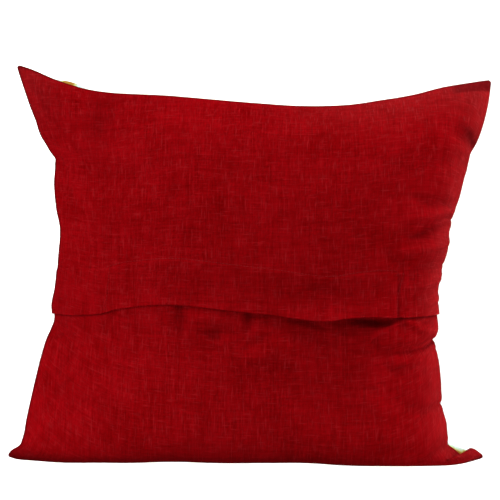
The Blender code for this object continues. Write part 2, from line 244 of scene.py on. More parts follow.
def spaced(count, crowds):
    """Places from 0 to 1 whose density is 1 plus a bell of a given strength and reach at each crowd."""
    fine = np.linspace(0.0, 1.0, SPACING_SAMPLES)
    density = np.ones_like(fine)
    for crowd in crowds:
        density += crowd.strength * bell(fine, crowd.at, crowd.reach)
    total = np.concatenate([[0.0], np.cumsum((density[1:] + density[:-1]) / 2)])
    return np.interp(np.linspace(0.0, 1.0, count + 1), total / total[-1], fine)


print("hem at the middle column:", hem_share(np.array([0.5])).round(3))

# %% [markdown]
# ## The crown
#
# Stuffing makes both cloths swell between the seams. The crown is a product of a profile across and one
# upwards, each of the form (1 - |s|^a)^b: a larger power a keeps it full further out, and a smaller b makes
# it rise more steeply from the seam. The product dies away in the corners, which leaves the ears flat.
# The cushion has slumped a little, so it is fullest towards its lower seam. Broad swells stand for the lumps
# of the stuffing.

# %% Profile of the crown
PEAK = 0.265
PEAK_ASIDE = 0.12
LEFT_SQUARENESS = 3.4
LEFT_SLOPE = 0.71
RIGHT_SQUARENESS = 6.0
RIGHT_SLOPE = 0.63
BELOW_SQUARENESS = 7.8
BELOW_SLOPE = 0.66
ABOVE_SQUARENESS = 4.6
ABOVE_SLOPE = 0.42


def fullness(u, v):
    """Share of the crown at each point, from 0 at the seams to 1: a profile across times one upwards."""
    aside = 2 * u - 1
    aside = aside - PEAK_ASIDE * (1 - aside**2)
    below = np.clip((PEAK - v) / PEAK, 0, 1)
    above = np.clip((v - PEAK) / (1 - PEAK), 0, 1)
    squareness = np.where(aside < 0, LEFT_SQUARENESS, RIGHT_SQUARENESS)
    across = (1 - np.abs(aside) ** squareness) ** np.where(aside < 0, LEFT_SLOPE, RIGHT_SLOPE)
    up = (1 - below**BELOW_SQUARENESS) ** BELOW_SLOPE * (1 - above**ABOVE_SQUARENESS) ** ABOVE_SLOPE
    return across * up


print("crown at the middle:", float(fullness(np.array(0.5), np.array(0.45)).round(3)))

# %% Swells of the stuffing
Swell = namedtuple("Swell", "x y reach_x reach_y height")
SWELLS = [
    Swell(-100, -80, 95, 44, -6),
    Swell(62, -120, 95, 48, -6),
    Swell(0, 104, 95, 80, 4),
    Swell(120, 84, 95, 80, 6),
    Swell(205, 113, 95, 40, 6),
]
SWELLS_FULL_AT = 0.5
HEM_VALLEY = 3.6
HEM_VALLEY_ABOVE = 13.5
HEM_VALLEY_REACH = 22.0
HEM_VALLEY_ENDS = 0.25


def above_hem(plan):
    """How far each place lies above the hem's line in y, in mm."""
    return plan[..., 1] - smooth_curve(HEM_X, HEM_Y, plan[..., 0])


def swell_heights(u, plan, full):
    """Two-way bells for the lumps of the stuffing, less one long bell for the valley along the hem."""
    x, y = plan[..., 0], plan[..., 1]
    lumps = sum(s.height * bell(x, s.x, s.reach_x) * bell(y, s.y, s.reach_y) for s in SWELLS)
    ends = step(0.0, HEM_VALLEY_ENDS, np.minimum(u, 1 - u))
    valley = HEM_VALLEY * ends * bell(above_hem(plan), HEM_VALLEY_ABOVE, HEM_VALLEY_REACH)
    return lumps * step(0.0, SWELLS_FULL_AT, full) - valley


print("swells:", len(SWELLS))

# %% [markdown]
# ## Folds and dents
#
# Cloth that is drawn in at a seam has too much length along it, and folds. Each fold is a row of a table: a
# line in plan that may bow, a half width, and a height that is negative for a trough. `start` is the share
# of the height that it has at its first end: 1 for a fold that runs out of a seam, 0 for one that swells up
# in the middle of the cloth. Its cross-section is a bell. A dent is a hollow with a reach each way. Tables
# were chosen over sculpting, because each crease can then be checked against the photograph by itself. The
# upper panel has its own folds, and so has the cloth below the hem.

# %% Folds and dents of the upper panel
Fold = namedtuple("Fold", "x0 y0 x1 y1 bow width height start")
Dent = namedtuple("Dent", "x y reach_x reach_y tilt depth")
UPPER_FOLDS = [
    # The upper right ear: the hollow under it, the ridge below that, and the hollow along the top seam.
    Fold(240, 126, 194, 134, 2, 8, -13.0, 1.0),
    Fold(230, 112, 200, 86, 0, 7, 5.0, 0.9),
    Fold(246, 181, 190, 176, -1, 5, -4.0, 0.9),
    # The fan of folds that the right seam gathers above the hem.
    Fold(206, 62, 150, 70, 2, 5.2, -5.8, 0.9),
    Fold(207, 57, 146, 38, -2, 6.0, 5.6, 0.9),
    Fold(209, 49, 138, 19, -3, 6.2, -10.4, 1.0),
    Fold(206, 25, 130, 10, 2, 6.5, 7.2, 0.8),
    Fold(202, 3, 136, 0, 0, 4.4, -6.2, 0.9),
    Fold(198, -10, 148, -24, 1, 4.8, 5.0, 0.8),
    Fold(196, -19, 152, -36, 1, 4.6, -5.8, 0.9),
    Fold(197, -31, 164, -43, 0, 5.0, 4.2, 0.9),
    # The left seam above the hem.
    Fold(-200, 7, -150, 15, 1, 4.6, -3.6, 1.0),
    Fold(-190, 49, -146, 8, -1, 5.5, 2.4, 0.6),
    Fold(-199, -43, -160, -48, 0, 3.8, -2.8, 0.9),
    Fold(-192, -26, -166, -22, 0, 5, 1.6, 0.6),
    # The upper left ear: its long ridge, the hollows beside it and the two dimples at the seam.
    Fold(-228, 196, -152, 92, -2, 6.5, 4.6, 0.8),
    Fold(-233, 190, -190, 122, 0, 4.6, -3.2, 0.6),
    Fold(-209, 130, -182, 112, 1, 5, -6.0, 1.0),
    Fold(-200, 111, -172, 99, 0, 4.2, -3.8, 0.9),
    # The soft hollow that the hem's stitching leaves above the lip.
    Fold(38, -18, 130, -25, -3, 10, -2.4, 0.1),
]
UPPER_DENTS = [
    Dent(-143, 144, 13, 21, 0, 5.0),
    Dent(-151, 162, 14, 4, 0, 1.2),
    Dent(159, -12, 7, 4.5, 0, 2.6),
    Dent(-133, -35, 4, 4, 0, 1.2),
    Dent(76, -42, 3.5, 5, 0, 1.2),
]
print("upper panel:", len(UPPER_FOLDS), "folds,", len(UPPER_DENTS), "dents")

# %% Folds and dents below the hem
LOWER_FOLDS = [
    # The right seam below the hem.
    Fold(154, -52, 200, -71, -3, 4.2, 4.6, 0.8),
    Fold(194, -74, 118, -86, 3, 4.8, -7.0, 1.0),
    Fold(194, -82, 122, -99, 4, 5.2, 4.8, 1.0),
    Fold(196, -108, 140, -111, 0, 5.5, -2.2, 0.9),
    Fold(199, -134, 152, -137, 0, 5.5, 2.2, 0.9),
    Fold(201, -143, 156, -148, 0, 5, -2.4, 0.9),
    Fold(202, -161, 180, -183, 0, 7, 2.4, 0.7),
    # The left seam below the hem.
    Fold(-206, -72, -166, -58, 0, 4.6, -4.8, 1.0),
    Fold(-194, -53, -174, -65, 1, 3.0, 2.4, 0.7),
    Fold(-214, -108, -184, -102, 0, 6, 1.6, 0.7),
    Fold(-220, -135, -188, -127, 0, 6, -1.6, 0.7),
    Fold(-130, -44, -146, -65, 0, 3.6, -1.6, 0.8),
    Fold(-225, -184, -190, -147, -2, 8, 2.0, 0.4),
    # The pucker that bulges out under the hem, between its three valleys.
    Fold(-64.5, -28, -56, -84, -3, 8.0, -5.2, 1.0),
    Fold(4, -36, -4, -86, 2, 7.0, -3.4, 1.0),
    Fold(-64, -64, -6, -64, -3, 5.5, -2.2, 0.4),
    # The long ridge below it and the trough above that.
    Fold(-34, -85, 50, -66, -1, 6.5, -2.2, 0.3),
    Fold(-16, -99, 72, -60, -2, 7.5, 3.2, 0.3),
    # The pocket's lower lip.
    Fold(150, -52, 115, -78, -1, 4.2, 3.2, 0.9),
]
LOWER_DENTS = [
    # The dark pocket under the open hem, in three steps.
    Dent(123, -51, 24, 7.5, -0.05, 11.0),
    Dent(84, -57, 36, 13, 0, 4.6),
    Dent(51, -52, 20, 5.5, 0.1, 4.0),
    Dent(13, -47, 12, 4, 0.1, 3.6),
    # Around the pucker, which itself stands out.
    Dent(-30, -67, 9, 6, 0, 3.4),
    Dent(-34, -49, 22, 9, 0, -3.4),
    # Small dimples near the side seams.
    Dent(176, -56, 6, 3, 0.3, 2.6),
    Dent(183, -85, 3.6, 3.4, 0, 2.0),
    Dent(-169, -71, 5, 3, 0, 1.3),
]
print("below the hem:", len(LOWER_FOLDS), "folds,", len(LOWER_DENTS), "dents")

# %% Heights of folds and dents
FOLD_FALLS_FROM = 0.35
FOLD_RISES_BY = 0.4


def fold_heights(plan, folds):
    """Sum over folds of height * bell(distance to the bowed line) * a taper from start to end."""
    total = np.zeros(plan.shape[:-1])
    for fold in folds:
        start = np.array([fold.x0, fold.y0], float)
        line = np.array([fold.x1, fold.y1]) - start
        length = np.hypot(*line)
        across_line = np.array([-line[1], line[0]]) / length
        from_start = plan - start
        share = from_start @ line / length**2
        inside = np.clip(share, 0, 1)
        aside = from_start @ across_line - 4 * fold.bow * inside * (1 - inside)
        beyond = (share - inside) * length
        near = np.exp(-((aside / fold.width) ** 2) - (beyond / fold.width) ** 2)
        rise = fold.start + (1 - fold.start) * step(0.0, FOLD_RISES_BY, inside)
        fall = 1 - step(FOLD_FALLS_FROM, 1.0, inside)
        total += fold.height * near * rise * fall
    return total


def dent_depths(plan, dents):
    """Sum over dents of depth times a two-way bell whose long axis may be tilted."""
    total = np.zeros(plan.shape[:-1])
    for dent in dents:
        x = plan[..., 0] - dent.x
        y = plan[..., 1] - dent.y - dent.tilt * x
        total += dent.depth * np.exp(-((x / dent.reach_x) ** 2) - (y / dent.reach_y) ** 2)
    return total


print("depth of the pocket:", dent_depths(np.array([[123.0, -52.0]]), LOWER_DENTS).round(1))

# %% [markdown]
# ## The red side of the filled cover
#
# The red side starts from the seams' patch, rises by the crown and its folds, and bulges past its own lower
# seam, where the stuffing has slumped. The folds stand out along the smooth side's normals, as cloth does.
# They move less sideways than upwards, which keeps the outline as it was measured.

# %% Red side
RED_CROWN = 98.0
RIM_THICKNESS = 3.0
LOWER_BULGE = 13.0
LOWER_BULGE_AT = 0.075
LOWER_BULGE_REACH = 0.30
LAP_BLEND_FROM = 4.0
LAP_BLEND_TO = 34.0
OVER_SOFTNESS = 0.4
FOLDS_FULL_AT = 0.11
SIDEWAYS_RELIEF = 0.45
RELIEF_DIRECTION = np.array([SIDEWAYS_RELIEF, SIDEWAYS_RELIEF, 1.0])


def normals_of(points):
    """Unit normals: the cross product of the differences along the columns and the rows."""
    across = np.gradient(points, axis=1)
    up = np.gradient(points, axis=0)
    normal = np.cross(across, up)
    return normal / np.linalg.norm(normal, axis=-1, keepdims=True)


def arc_length(points, axis):
    """Length walked along one axis of the grid, starting at 0."""
    steps = np.linalg.norm(np.diff(points, axis=axis), axis=-1)
    walked = np.cumsum(steps, axis=axis)
    return np.insert(walked, 0, 0.0, axis=axis)


def smooth_red_side(u, v):
    """Crowned red side without folds: seam patch + crown, with a bulge t * e^(1 - t) at the lower seam."""
    point = seam_plane(u, v)
    ends = step(0.0, LOWER_BULGE_REACH, np.minimum(u, 1 - u))
    bulge = v / LOWER_BULGE_AT * np.exp(1 - v / LOWER_BULGE_AT)
    point[..., 1] -= LOWER_BULGE * bulge * ends
    full = fullness(u, v)
    swells = swell_heights(u, point[..., :2], full)
    point[..., 2] += SEAM_HEIGHT + RIM_THICKNESS / 2 + RED_CROWN * full + swells
    return point


def reliefs(plan):
    """Heights of the folds under the lap, and over it: the softened larger of the upper folds and those.

    Well above the hem the two are the same.
    """
    upper = fold_heights(plan, UPPER_FOLDS) - dent_depths(plan, UPPER_DENTS)
    lower = fold_heights(plan, LOWER_FOLDS) - dent_depths(plan, LOWER_DENTS)
    share = step(LAP_BLEND_FROM, LAP_BLEND_TO, above_hem(plan))
    under = upper * share + lower * (1 - share)
    apart = np.sqrt((upper - under) ** 2 + OVER_SOFTNESS**2) - OVER_SOFTNESS
    over = (upper + under + apart) / 2
    return under, over


def raised(points, outward, relief):
    """Points moved along their normals by a height, but only by a share of it sideways."""
    return points + outward * RELIEF_DIRECTION * relief[..., None]


def red_side(u, v, over_lap=False):
    """Red side with its folds, and the smooth side's normals along which they stand out."""
    smooth = smooth_red_side(u, v)
    smooth[..., 1] += curled_ear(u, v)
    outward = normals_of(smooth)
    under, over = reliefs(smooth[..., :2])
    relief = (over if over_lap else under) * step(0.0, FOLDS_FULL_AT, fullness(u, v))
    return raised(smooth, outward, relief), outward


sample_u, sample_v = np.meshgrid(np.linspace(0.4, 0.6, 5), np.linspace(0.2, 0.4, 5))
print("highest part of the filling in mm:", red_side(sample_u, sample_v)[0][..., 2].max().round(1))

# %% [markdown]
# ## The printed side
#
# The printed side goes down from the same seams by its own crown until it meets the surface that the cushion
# lies on. There it is flat, as a soft body is under its own weight. Beside the upper left ear it swells out
# past its seam, which is why a sliver of the print shows from above.

# %% Printed side
PRINT_CROWN = 116.0
FLAT_EASE = 0.1
PRINT_SWELL = 14.0
PRINT_SWELL_AT = 0.11
PRINT_SWELL_REACH = 0.06
PRINT_SWELL_DEPTH = 0.03


def levelled(share):
    """A share of the depth that bends over a parabola to exactly 1 where the cushion rests."""
    eased = share - (share - 1 + FLAT_EASE) ** 2 / (4 * FLAT_EASE)
    return np.where(share < 1 - FLAT_EASE, share, np.where(share < 1 + FLAT_EASE, eased, 1.0))


def print_side(u, v):
    """Lower face of the filling: the seam's height times one less the levelled crown.

    At the upper left it swells past its seam by a bell across times t * e^(1 - t) downwards.
    """
    point = seam_plane(u, v)
    seam_z = SEAM_HEIGHT + point[..., 2] - RIM_THICKNESS / 2
    below_seam = (1 - v) / PRINT_SWELL_DEPTH
    swell = bell(u, PRINT_SWELL_AT, PRINT_SWELL_REACH) * below_seam * np.exp(1 - below_seam)
    point[..., 1] += PRINT_SWELL * swell
    point[..., 2] = seam_z * (1 - levelled(PRINT_CROWN / SEAM_HEIGHT * fullness(u, v)))
    return point


print("lowest part of the printed side in mm:", print_side(sample_u, sample_v)[..., 2].min().round(1))

# %% [markdown]
# ## Puckers from the cloth solver
#
# The tables give the folds that the photograph shows. The small, uneven puckers between them come from
# Blender's cloth solver. The cover is sewn up once as a closed shell of even cells: both sides share the
# points of their seams, which are pinned. Pressure stands for the stuffing, gravity is off, and near the
# seams the springs grow a little, as cloth does that is eased into a seam. What is kept of the result is how
# far each point moves along its normal, less the blurred mean around it, so the crown keeps its shape.

# %% Sew the cover into one shell
def sewn_shell(top, bottom):
    """Points and quads of two grids that share their rim."""
    rows, columns = top.shape[:2]
    upper = np.arange(rows * columns).reshape(rows, columns)
    lower = upper.copy()
    inner = (rows - 2) * (columns - 2)
    lower[1:-1, 1:-1] = rows * columns + np.arange(inner).reshape(rows - 2, columns - 2)
    points = np.concatenate([top.reshape(-1, 3), bottom[1:-1, 1:-1].reshape(-1, 3)])
    quads = []
    for index, flip in ((upper, False), (lower, True)):
        cells_of = [index[:-1, :-1], index[:-1, 1:], index[1:, 1:], index[1:, :-1]]
        quads.append(np.stack(cells_of[::-1] if flip else cells_of, axis=-1).reshape(-1, 4))
    return points, np.concatenate(quads)


def weighted_group(piece, name, weights):
    """A vertex group whose weights are rounded to a hundredth, one call for each value."""
    group = piece.vertex_groups.new(name=name)
    rounded = np.round(weights, 2)
    for value in np.unique(rounded[rounded > 0]):
        group.add(np.flatnonzero(rounded == value).tolist(), float(value), "REPLACE")


print("quads of a small shell:", len(sewn_shell(np.zeros((4, 5, 3)), np.zeros((4, 5, 3)))[1]))

# %% Run the solver on it
SHELL_FRAMES = 20
SHELL_PRESSURE = 4.0
SHELL_SLACK = 0.06


def solved_shell(points, quads, pinned, slack):
    """The shell's points after the cloth solver's frames, in mm."""
    mesh = bpy.data.meshes.new("shell")
    mesh.from_pydata((points * MM).tolist(), [], quads.tolist())
    shell = bpy.data.objects.new("shell", mesh)
    bpy.context.scene.collection.objects.link(shell)
    weighted_group(shell, "pinned", pinned)
    weighted_group(shell, "slack", slack)
    cloth = shell.modifiers.new("solver", "CLOTH")
    cloth.settings.quality = 6
    cloth.settings.mass = 0.05
    cloth.settings.bending_stiffness = 0.1
    cloth.settings.use_pressure = True
    cloth.settings.uniform_pressure_force = SHELL_PRESSURE
    cloth.settings.effector_weights.gravity = 0.0
    cloth.settings.vertex_group_mass = "pinned"
    cloth.settings.vertex_group_shrink = "slack"
    cloth.settings.shrink_min = 0.0
    cloth.settings.shrink_max = -SHELL_SLACK
    cloth.collision_settings.use_collision = False
    cloth.collision_settings.use_self_collision = False
    for frame_number in range(1, SHELL_FRAMES + 1):
        bpy.context.scene.frame_set(frame_number)
    seen = shell.evaluated_get(bpy.context.evaluated_depsgraph_get())
    solved = np.empty(len(points) * 3, np.float32)
    seen.data.vertices.foreach_get("co", solved)
    bpy.context.scene.frame_set(1)
    bpy.data.objects.remove(shell)
    bpy.data.meshes.remove(mesh)
    return solved.reshape(-1, 3) / MM


print("frames to solve:", SHELL_FRAMES)

# %% [markdown]
# ## What is kept of the solver's work
#
# The solver also blows the whole cover up, which would spoil the measured crown. A blur finds that broad
# part: what is left after taking it away are the puckers alone. They are also capped softly at 3 mm.

# %% Keep the fine part
SHELL_COLUMNS = 110
SHELL_ROWS = 96
SLACK_REACH = 0.13
PUCKER_CAP = 3.0
PUCKER_BLUR = 30.0
PUCKER_LENGTH = 80.0
KERNEL_REACHES = 2.5


def blurred(grid, reach, axes=(0, 1)):
    """A grid of values averaged with its neighbours by a bell along its axes, its edge values repeated."""
    half = int(math.ceil(KERNEL_REACHES * reach))
    kernel = bell(np.arange(-half, half + 1), 0.0, reach)
    kernel /= kernel.sum()
    for axis in axes:
        padding = [(half, half) if k == axis else (0, 0) for k in (0, 1)]
        padded = np.pad(grid, padding, mode="edge")
        grid = np.lib.stride_tricks.sliding_window_view(padded, len(kernel), axis) @ kernel
    return grid


def find_puckers():
    u, v = np.meshgrid(np.linspace(0, 1, SHELL_COLUMNS), np.linspace(0, 1, SHELL_ROWS))
    top, outward = red_side(u, v)
    points, quads = sewn_shell(top, print_side(u, v))
    from_seam = np.minimum(np.minimum(u, 1 - u), np.minimum(v, 1 - v))
    both = lambda grid: np.concatenate([grid.ravel(), grid[1:-1, 1:-1].ravel()])
    pinned = both((from_seam == 0).astype(float))
    slack = both(bell(from_seam, 0.0, SLACK_REACH))
    moved = (solved_shell(points, quads, pinned, slack) - points)[: top.size // 3].reshape(top.shape)
    along_normal = (moved * outward).sum(axis=-1)
    print("the solver moves the red side by up to mm:", np.abs(along_normal).max().round(1))
    cell = (UPPER_RIGHT.x - UPPER_LEFT.x) / (SHELL_COLUMNS - 1)
    fine = along_normal - blurred(along_normal, PUCKER_BLUR / cell)
    for axis in (0, 1):
        fine = fine - blurred(fine, PUCKER_LENGTH / cell, (axis,))
    return PUCKER_CAP * np.tanh(fine / PUCKER_CAP) * (from_seam > 0)


pucker_grid = find_puckers()
print("puckers in mm:", pucker_grid.min().round(2), "to", pucker_grid.max().round(2))

# %% Add the puckers to the red side
LOWER_SEAM_CALM = 0.7
CALM_REACH = 0.11


def puckers(u, v):
    """Bilinear reading of the pucker grid times 1 - calm * bell(v): calmer along the lower seam."""
    across = np.clip(u, 0, 1) * (SHELL_COLUMNS - 1)
    up = np.clip(v, 0, 1) * (SHELL_ROWS - 1)
    i = np.minimum(up.astype(int), SHELL_ROWS - 2)
    j = np.minimum(across.astype(int), SHELL_COLUMNS - 2)
    s, t = across - j, up - i
    low = pucker_grid[i, j] * (1 - s) + pucker_grid[i, j + 1] * s
    high = pucker_grid[i + 1, j] * (1 - s) + pucker_grid[i + 1, j + 1] * s
    return (low * (1 - t) + high * t) * (1 - LOWER_SEAM_CALM * bell(v, 0.0, CALM_REACH))


def cloth_side(u, v, over_lap=False):
    """Red side with its folds and its puckers, and the smooth side's normals."""
    points, outward = red_side(u, v, over_lap)
    return raised(points, outward, puckers(u, v)), outward


print("pucker in the middle of the samples in mm:", puckers(sample_u, sample_v)[2, 2].round(2))

# %% [markdown]
# ## From grids to meshes
#
# A piece of cloth is two grids of points, its outer and its inner face, joined along their rims into one
# closed body. Every point also carries its place on the flat cloth, in metres, as a UV map, so that the
# weave runs along the cloth and keeps its scale where the surface is steep. Numbers that the material is to
# read at each point, the painted shade, the painted sheen and the thread's tint, are written as attributes.

# %% Meshes from grids
def grid_quads(rows, columns, start, flip):
    """The four corner numbers of each cell of a grid whose first point has this number."""
    i = np.arange(rows - 1)[:, None] * columns + np.arange(columns - 1)[None] + start
    quads = np.stack([i, i + 1, i + 1 + columns, i + columns], axis=-1).reshape(-1, 4)
    return quads[:, ::-1] if flip else quads


def rim_of(rows, columns, start):
    """The numbers of a grid's outer points, once round."""
    index = np.arange(rows * columns).reshape(rows, columns) + start
    return np.concatenate([index[0, :-1], index[:-1, -1], index[-1, :0:-1], index[:0:-1, 0]])


def mesh_object(name, points, quads, cloth_place, material, tints_and_painted_light=None):
    """Puts points (mm), quads, the cloth's flat places (m), the thread's tint and the painted shade and
    sheen into a new smooth object.
    """
    mesh = bpy.data.meshes.new(name)
    mesh.from_pydata((points * MM).tolist(), [], quads.tolist())
    layer = mesh.uv_layers.new(name="cloth")
    corners = np.empty(len(mesh.loops), np.int32)
    mesh.loops.foreach_get("vertex_index", corners)
    layer.data.foreach_set("uv", cloth_place[corners].astype(np.float32).ravel())
    for value_name, values in (tints_and_painted_light or {}).items():
        mesh.attributes.new(value_name, "FLOAT", "POINT").data.foreach_set("value", values.astype(np.float32))
    mesh.materials.append(material)
    mesh.shade_smooth()
    piece = bpy.data.objects.new(name, mesh)
    bpy.context.scene.collection.objects.link(piece)
    return piece


print("quads of a 3 by 4 grid:", len(grid_quads(3, 4, 0, False)))

# %% [markdown]
# ## Painted shade along the seams
#
# On the real cushion the cloth lies in shade where it turns down into a seam, in a band under the top seam
# of the right ear, on the steep lower wall, beside the right closure and just under the hem's edge near its
# ends.
# Light alone would show this only with far finer meshes and a fully modelled seam. So the shade is painted:
# each point gets a number from its distance to the outline, which the red material reads. A few soft places
# that the photograph shows darker are painted shade too, as dents of the same number.

# %% Where the shade lies
Ramp = namedtuple("Ramp", "from_x to_x share")
CLOSURE_LEFT = -142.0
CLOSURE_RIGHT = 146.0
HEM_DEPTH = 46.0
# Painted shade: a thin dark line along the outline, where the cloth turns down.
OUTLINE_SHADE_REACH = 1.8
RIGHT_OUTLINE_SHADE = 0.25
# Painted shade: a band under the top seam of the upper right ear.
EAR_BAND_SHADE = [Ramp(202.0, 214.0, 0.6)]
EAR_BAND_DEPTH = 11.5
EAR_BAND_EDGE = 2.0
# Painted shade on the steep lower wall, fading towards the right.
WALL_SHADE = 0.9
WALL_REACH = 9.5
WALL_FADE = [Ramp(80.0, 215.0, 0.85)]
# Painted shade: a dark line beside the right closure, within the hem.
CLOSURE_SHADE = 0.4
CLOSURE_SHADE_ASIDE = 1.3
CLOSURE_SHADE_REACH = 0.9
CLOSURE_SHADE_END = 3.0
# Painted shadow just under the hem's edge, near its shut ends.
UNDER_HEM_SHADE = 0.85
UNDER_HEM_REACH = 1.5
SHUT_ENDS = [Ramp(140.0, 150.0, 1.0), Ramp(-136.0, -146.0, 0.5)]
# Painted shade at soft places: the hollow under the upper right ear, the upper left ear and the band beside
# it, the left side at the hem, a crease of the right fan and two places on the right.
SHADED_PLACES = [
    Dent(224, 131, 13, 8, -0.84, 0.55),
    Dent(231, 124, 7, 6, -0.84, 0.5),
    Dent(-206, 152, 20, 32, 0, 0.2),
    Dent(-146, 147, 17, 26, 0, 0.26),
    Dent(-112, 166, 45, 12, 0, 0.14),
    Dent(-188, -42, 12, 42, 0, 0.24),
    Dent(180, 43, 30, 4.5, 0.47, 0.18),
    Dent(184, 64, 16, 7, 0.2, 0.12),
    Dent(182, -125, 22, 34, 0, 0.15),
]
print("shaded places:", len(SHADED_PLACES))

# %% Shade at each point
def ramps(rows, x):
    """Sum of soft steps of x from 0 to each row's share, between its two places."""
    return sum(row.share * step(row.from_x, row.to_x, x) for row in rows)


def from_outline(points, at_upper_seam):
    """Distances in plan (mm) from the leftmost and rightmost point of the row and the end of the column."""
    x, y = points[..., 0], points[..., 1]
    from_end = y.max(axis=0) - y if at_upper_seam else y - y.min(axis=0)
    return x - x.min(axis=1, keepdims=True), x.max(axis=1, keepdims=True) - x, from_end


def shade_of_seams(points, at_upper_seam):
    """How much painted shade: 1 - (1 - the strongest bell or band of the distances) * (1 - the shaded
    places).
    """
    left, right, from_end = from_outline(points, at_upper_seam)
    x = points[..., 0]
    past_hem = above_hem(points)
    shades = [bell(left, 0.0, OUTLINE_SHADE_REACH), bell(from_end, 0.0, OUTLINE_SHADE_REACH)]
    shades.append(RIGHT_OUTLINE_SHADE * bell(right, 0.0, OUTLINE_SHADE_REACH))
    if at_upper_seam:
        band = 1 - step(EAR_BAND_DEPTH - EAR_BAND_EDGE, EAR_BAND_DEPTH, from_end)
        shades.append(ramps(EAR_BAND_SHADE, x) * band)
        beside_closure = bell(x, CLOSURE_RIGHT + CLOSURE_SHADE_ASIDE, CLOSURE_SHADE_REACH)
        on_hem = 1 - step(HEM_DEPTH - CLOSURE_SHADE_END, HEM_DEPTH, past_hem)
        shades.append(CLOSURE_SHADE * beside_closure * on_hem)
    else:
        shades.append(WALL_SHADE * (1 - ramps(WALL_FADE, x)) * bell(from_end, 0.0, WALL_REACH))
        under_hem = bell(past_hem, -UNDER_HEM_REACH / 2, UNDER_HEM_REACH)
        shades.append(UNDER_HEM_SHADE * ramps(SHUT_ENDS, x) * under_hem)
    return 1 - (1 - np.max(shades, axis=0)) * (1 - dent_depths(points[..., :2], SHADED_PLACES))


print("shade ramp under the right closure:", ramps(SHUT_ENDS, CLOSURE_RIGHT).round(2))

# %% [markdown]
# ## Painted sheen of the fuzz
#
# Fine fibres stand off the yarns and catch the light. This sheen shows where the cloth is seen at a slant:
# along the right side and on the ears. A shader that looks at the camera's angle would move with the view,
# so this sheen is painted too, as a pale red by a second number at each point.

# %% Painted sheen at each point
# Painted sheen: strongest along the right side, weaker along the top towards the right and on the upper left
# ear.
RIGHT_SHEEN = 0.9
RIGHT_SHEEN_REACH = 20.0
LOWER_PANEL_SHEEN = 0.7
TOP_SHEEN = [Ramp(-20.0, 160.0, 0.55), Ramp(185.0, 215.0, 0.35)]
TOP_SHEEN_REACH = 26.0
LEFT_EAR_SHEEN = [Ramp(-175.0, -225.0, 0.4)]
LEFT_EAR_SHEEN_REACH = 52.0


def paleness_and_sheen(points, at_upper_seam):
    """How much painted sheen: 1 - the product of (1 - each bell of the distances), or the right bell's share
    below.
    """
    _, right, from_end = from_outline(points, at_upper_seam)
    x = points[..., 0]
    pale = RIGHT_SHEEN * bell(right, 0.0, RIGHT_SHEEN_REACH)
    if not at_upper_seam:
        return LOWER_PANEL_SHEEN * pale
    top = ramps(TOP_SHEEN, x) * bell(from_end, 0.0, TOP_SHEEN_REACH)
    left_ear = ramps(LEFT_EAR_SHEEN, x) * bell(from_end, 0.0, LEFT_EAR_SHEEN_REACH)
    return 1 - (1 - pale) * (1 - top) * (1 - left_ear)


print("paleness ramp at the upper right ear:", ramps(TOP_SHEEN, UPPER_RIGHT.x).round(2))

# %% [markdown]
# ## Closed bodies of cloth
#
# The outer and the inner grid of a piece become one closed mesh with a narrow wall round the rim. A solidify
# modifier would do the same for an even thickness, but the hem and the body of the cushion need two faces
# of their own.

# %% Closed body from two grids
def closed_piece(name, outer, inner, cloth_place, material, tints_and_painted_light=None):
    """A closed object between an outer and an inner grid of the same shape."""
    rows, columns = outer.shape[:2]
    count = rows * columns
    points = np.concatenate([outer.reshape(-1, 3), inner.reshape(-1, 3)])
    places = np.tile(cloth_place.reshape(-1, 2), (2, 1))
    upper = rim_of(rows, columns, 0)
    lower = rim_of(rows, columns, count)
    wall = np.stack([upper, lower, np.roll(lower, -1), np.roll(upper, -1)], axis=-1)
    faces = [grid_quads(rows, columns, 0, False), grid_quads(rows, columns, count, True), wall]
    both_faces = {value_name: np.tile(values.ravel(), 2) for value_name, values in (tints_and_painted_light or {}).items()}
    piece = mesh_object(name, points, np.concatenate(faces), places, material, both_faces)
    print(name, "points:", len(points), "quads:", sum(len(f) for f in faces))
    return piece


# %% Places on the flat cloth
CLOTH_HEIGHT = 0.45


def flat_places(v, points):
    """Each point's place on the flat cloth (m): arc length along its row from x = 0, and share upwards."""
    along = arc_length(points, 1)
    up = arc_length(points, 0)
    before = (points[..., 0] < 0).sum(axis=1, keepdims=True) - 1
    x_before, x_after = (np.take_along_axis(points[..., 0], k, 1) for k in (before, before + 1))
    walked_before, walked_after = (np.take_along_axis(along, k, 1) for k in (before, before + 1))
    origin = walked_before - x_before * (walked_after - walked_before) / (x_after - x_before)
    x = (along - origin) * MM
    y = (v[:1] + (v[-1:] - v[:1]) * up / up[-1:]) * CLOTH_HEIGHT
    return np.stack([x, y], axis=-1)


print("height of the flat cloth in m:", CLOTH_HEIGHT)

# %% [markdown]
# ## Weave
#
# The cloth is a plain weave of uneven yarns. Seen from a step away the single threads vanish. What is left
# is a grain of paler and darker dashes along both thread directions, and here and there a slub, a thick
# place in a yarn. One node group makes all of it. It reads the flat cloth's coordinates and puts out a
# height for the bump, a tone between the deep and the light colour, and a mask of the slubs.

# %% Node helpers
def fill(tree, node, inputs):
    """Links each named or numbered input to another node's output, or sets it to a number or colour."""
    for name, value in inputs.items():
        if isinstance(value, bpy.types.NodeSocket):
            tree.links.new(value, node.inputs[name])
        else:
            node.inputs[name].default_value = value


def add_node(tree, kind, inputs=None, **settings):
    """Adds a node, sets its plain properties and fills its inputs."""
    node = tree.nodes.new(kind)
    for name, value in settings.items():
        setattr(node, name, value)
    fill(tree, node, inputs or {})
    return node


def maths(tree, operation, *values):
    """The output of a Math node with these inputs."""
    return add_node(tree, "ShaderNodeMath", dict(enumerate(values)), operation=operation).outputs[0]


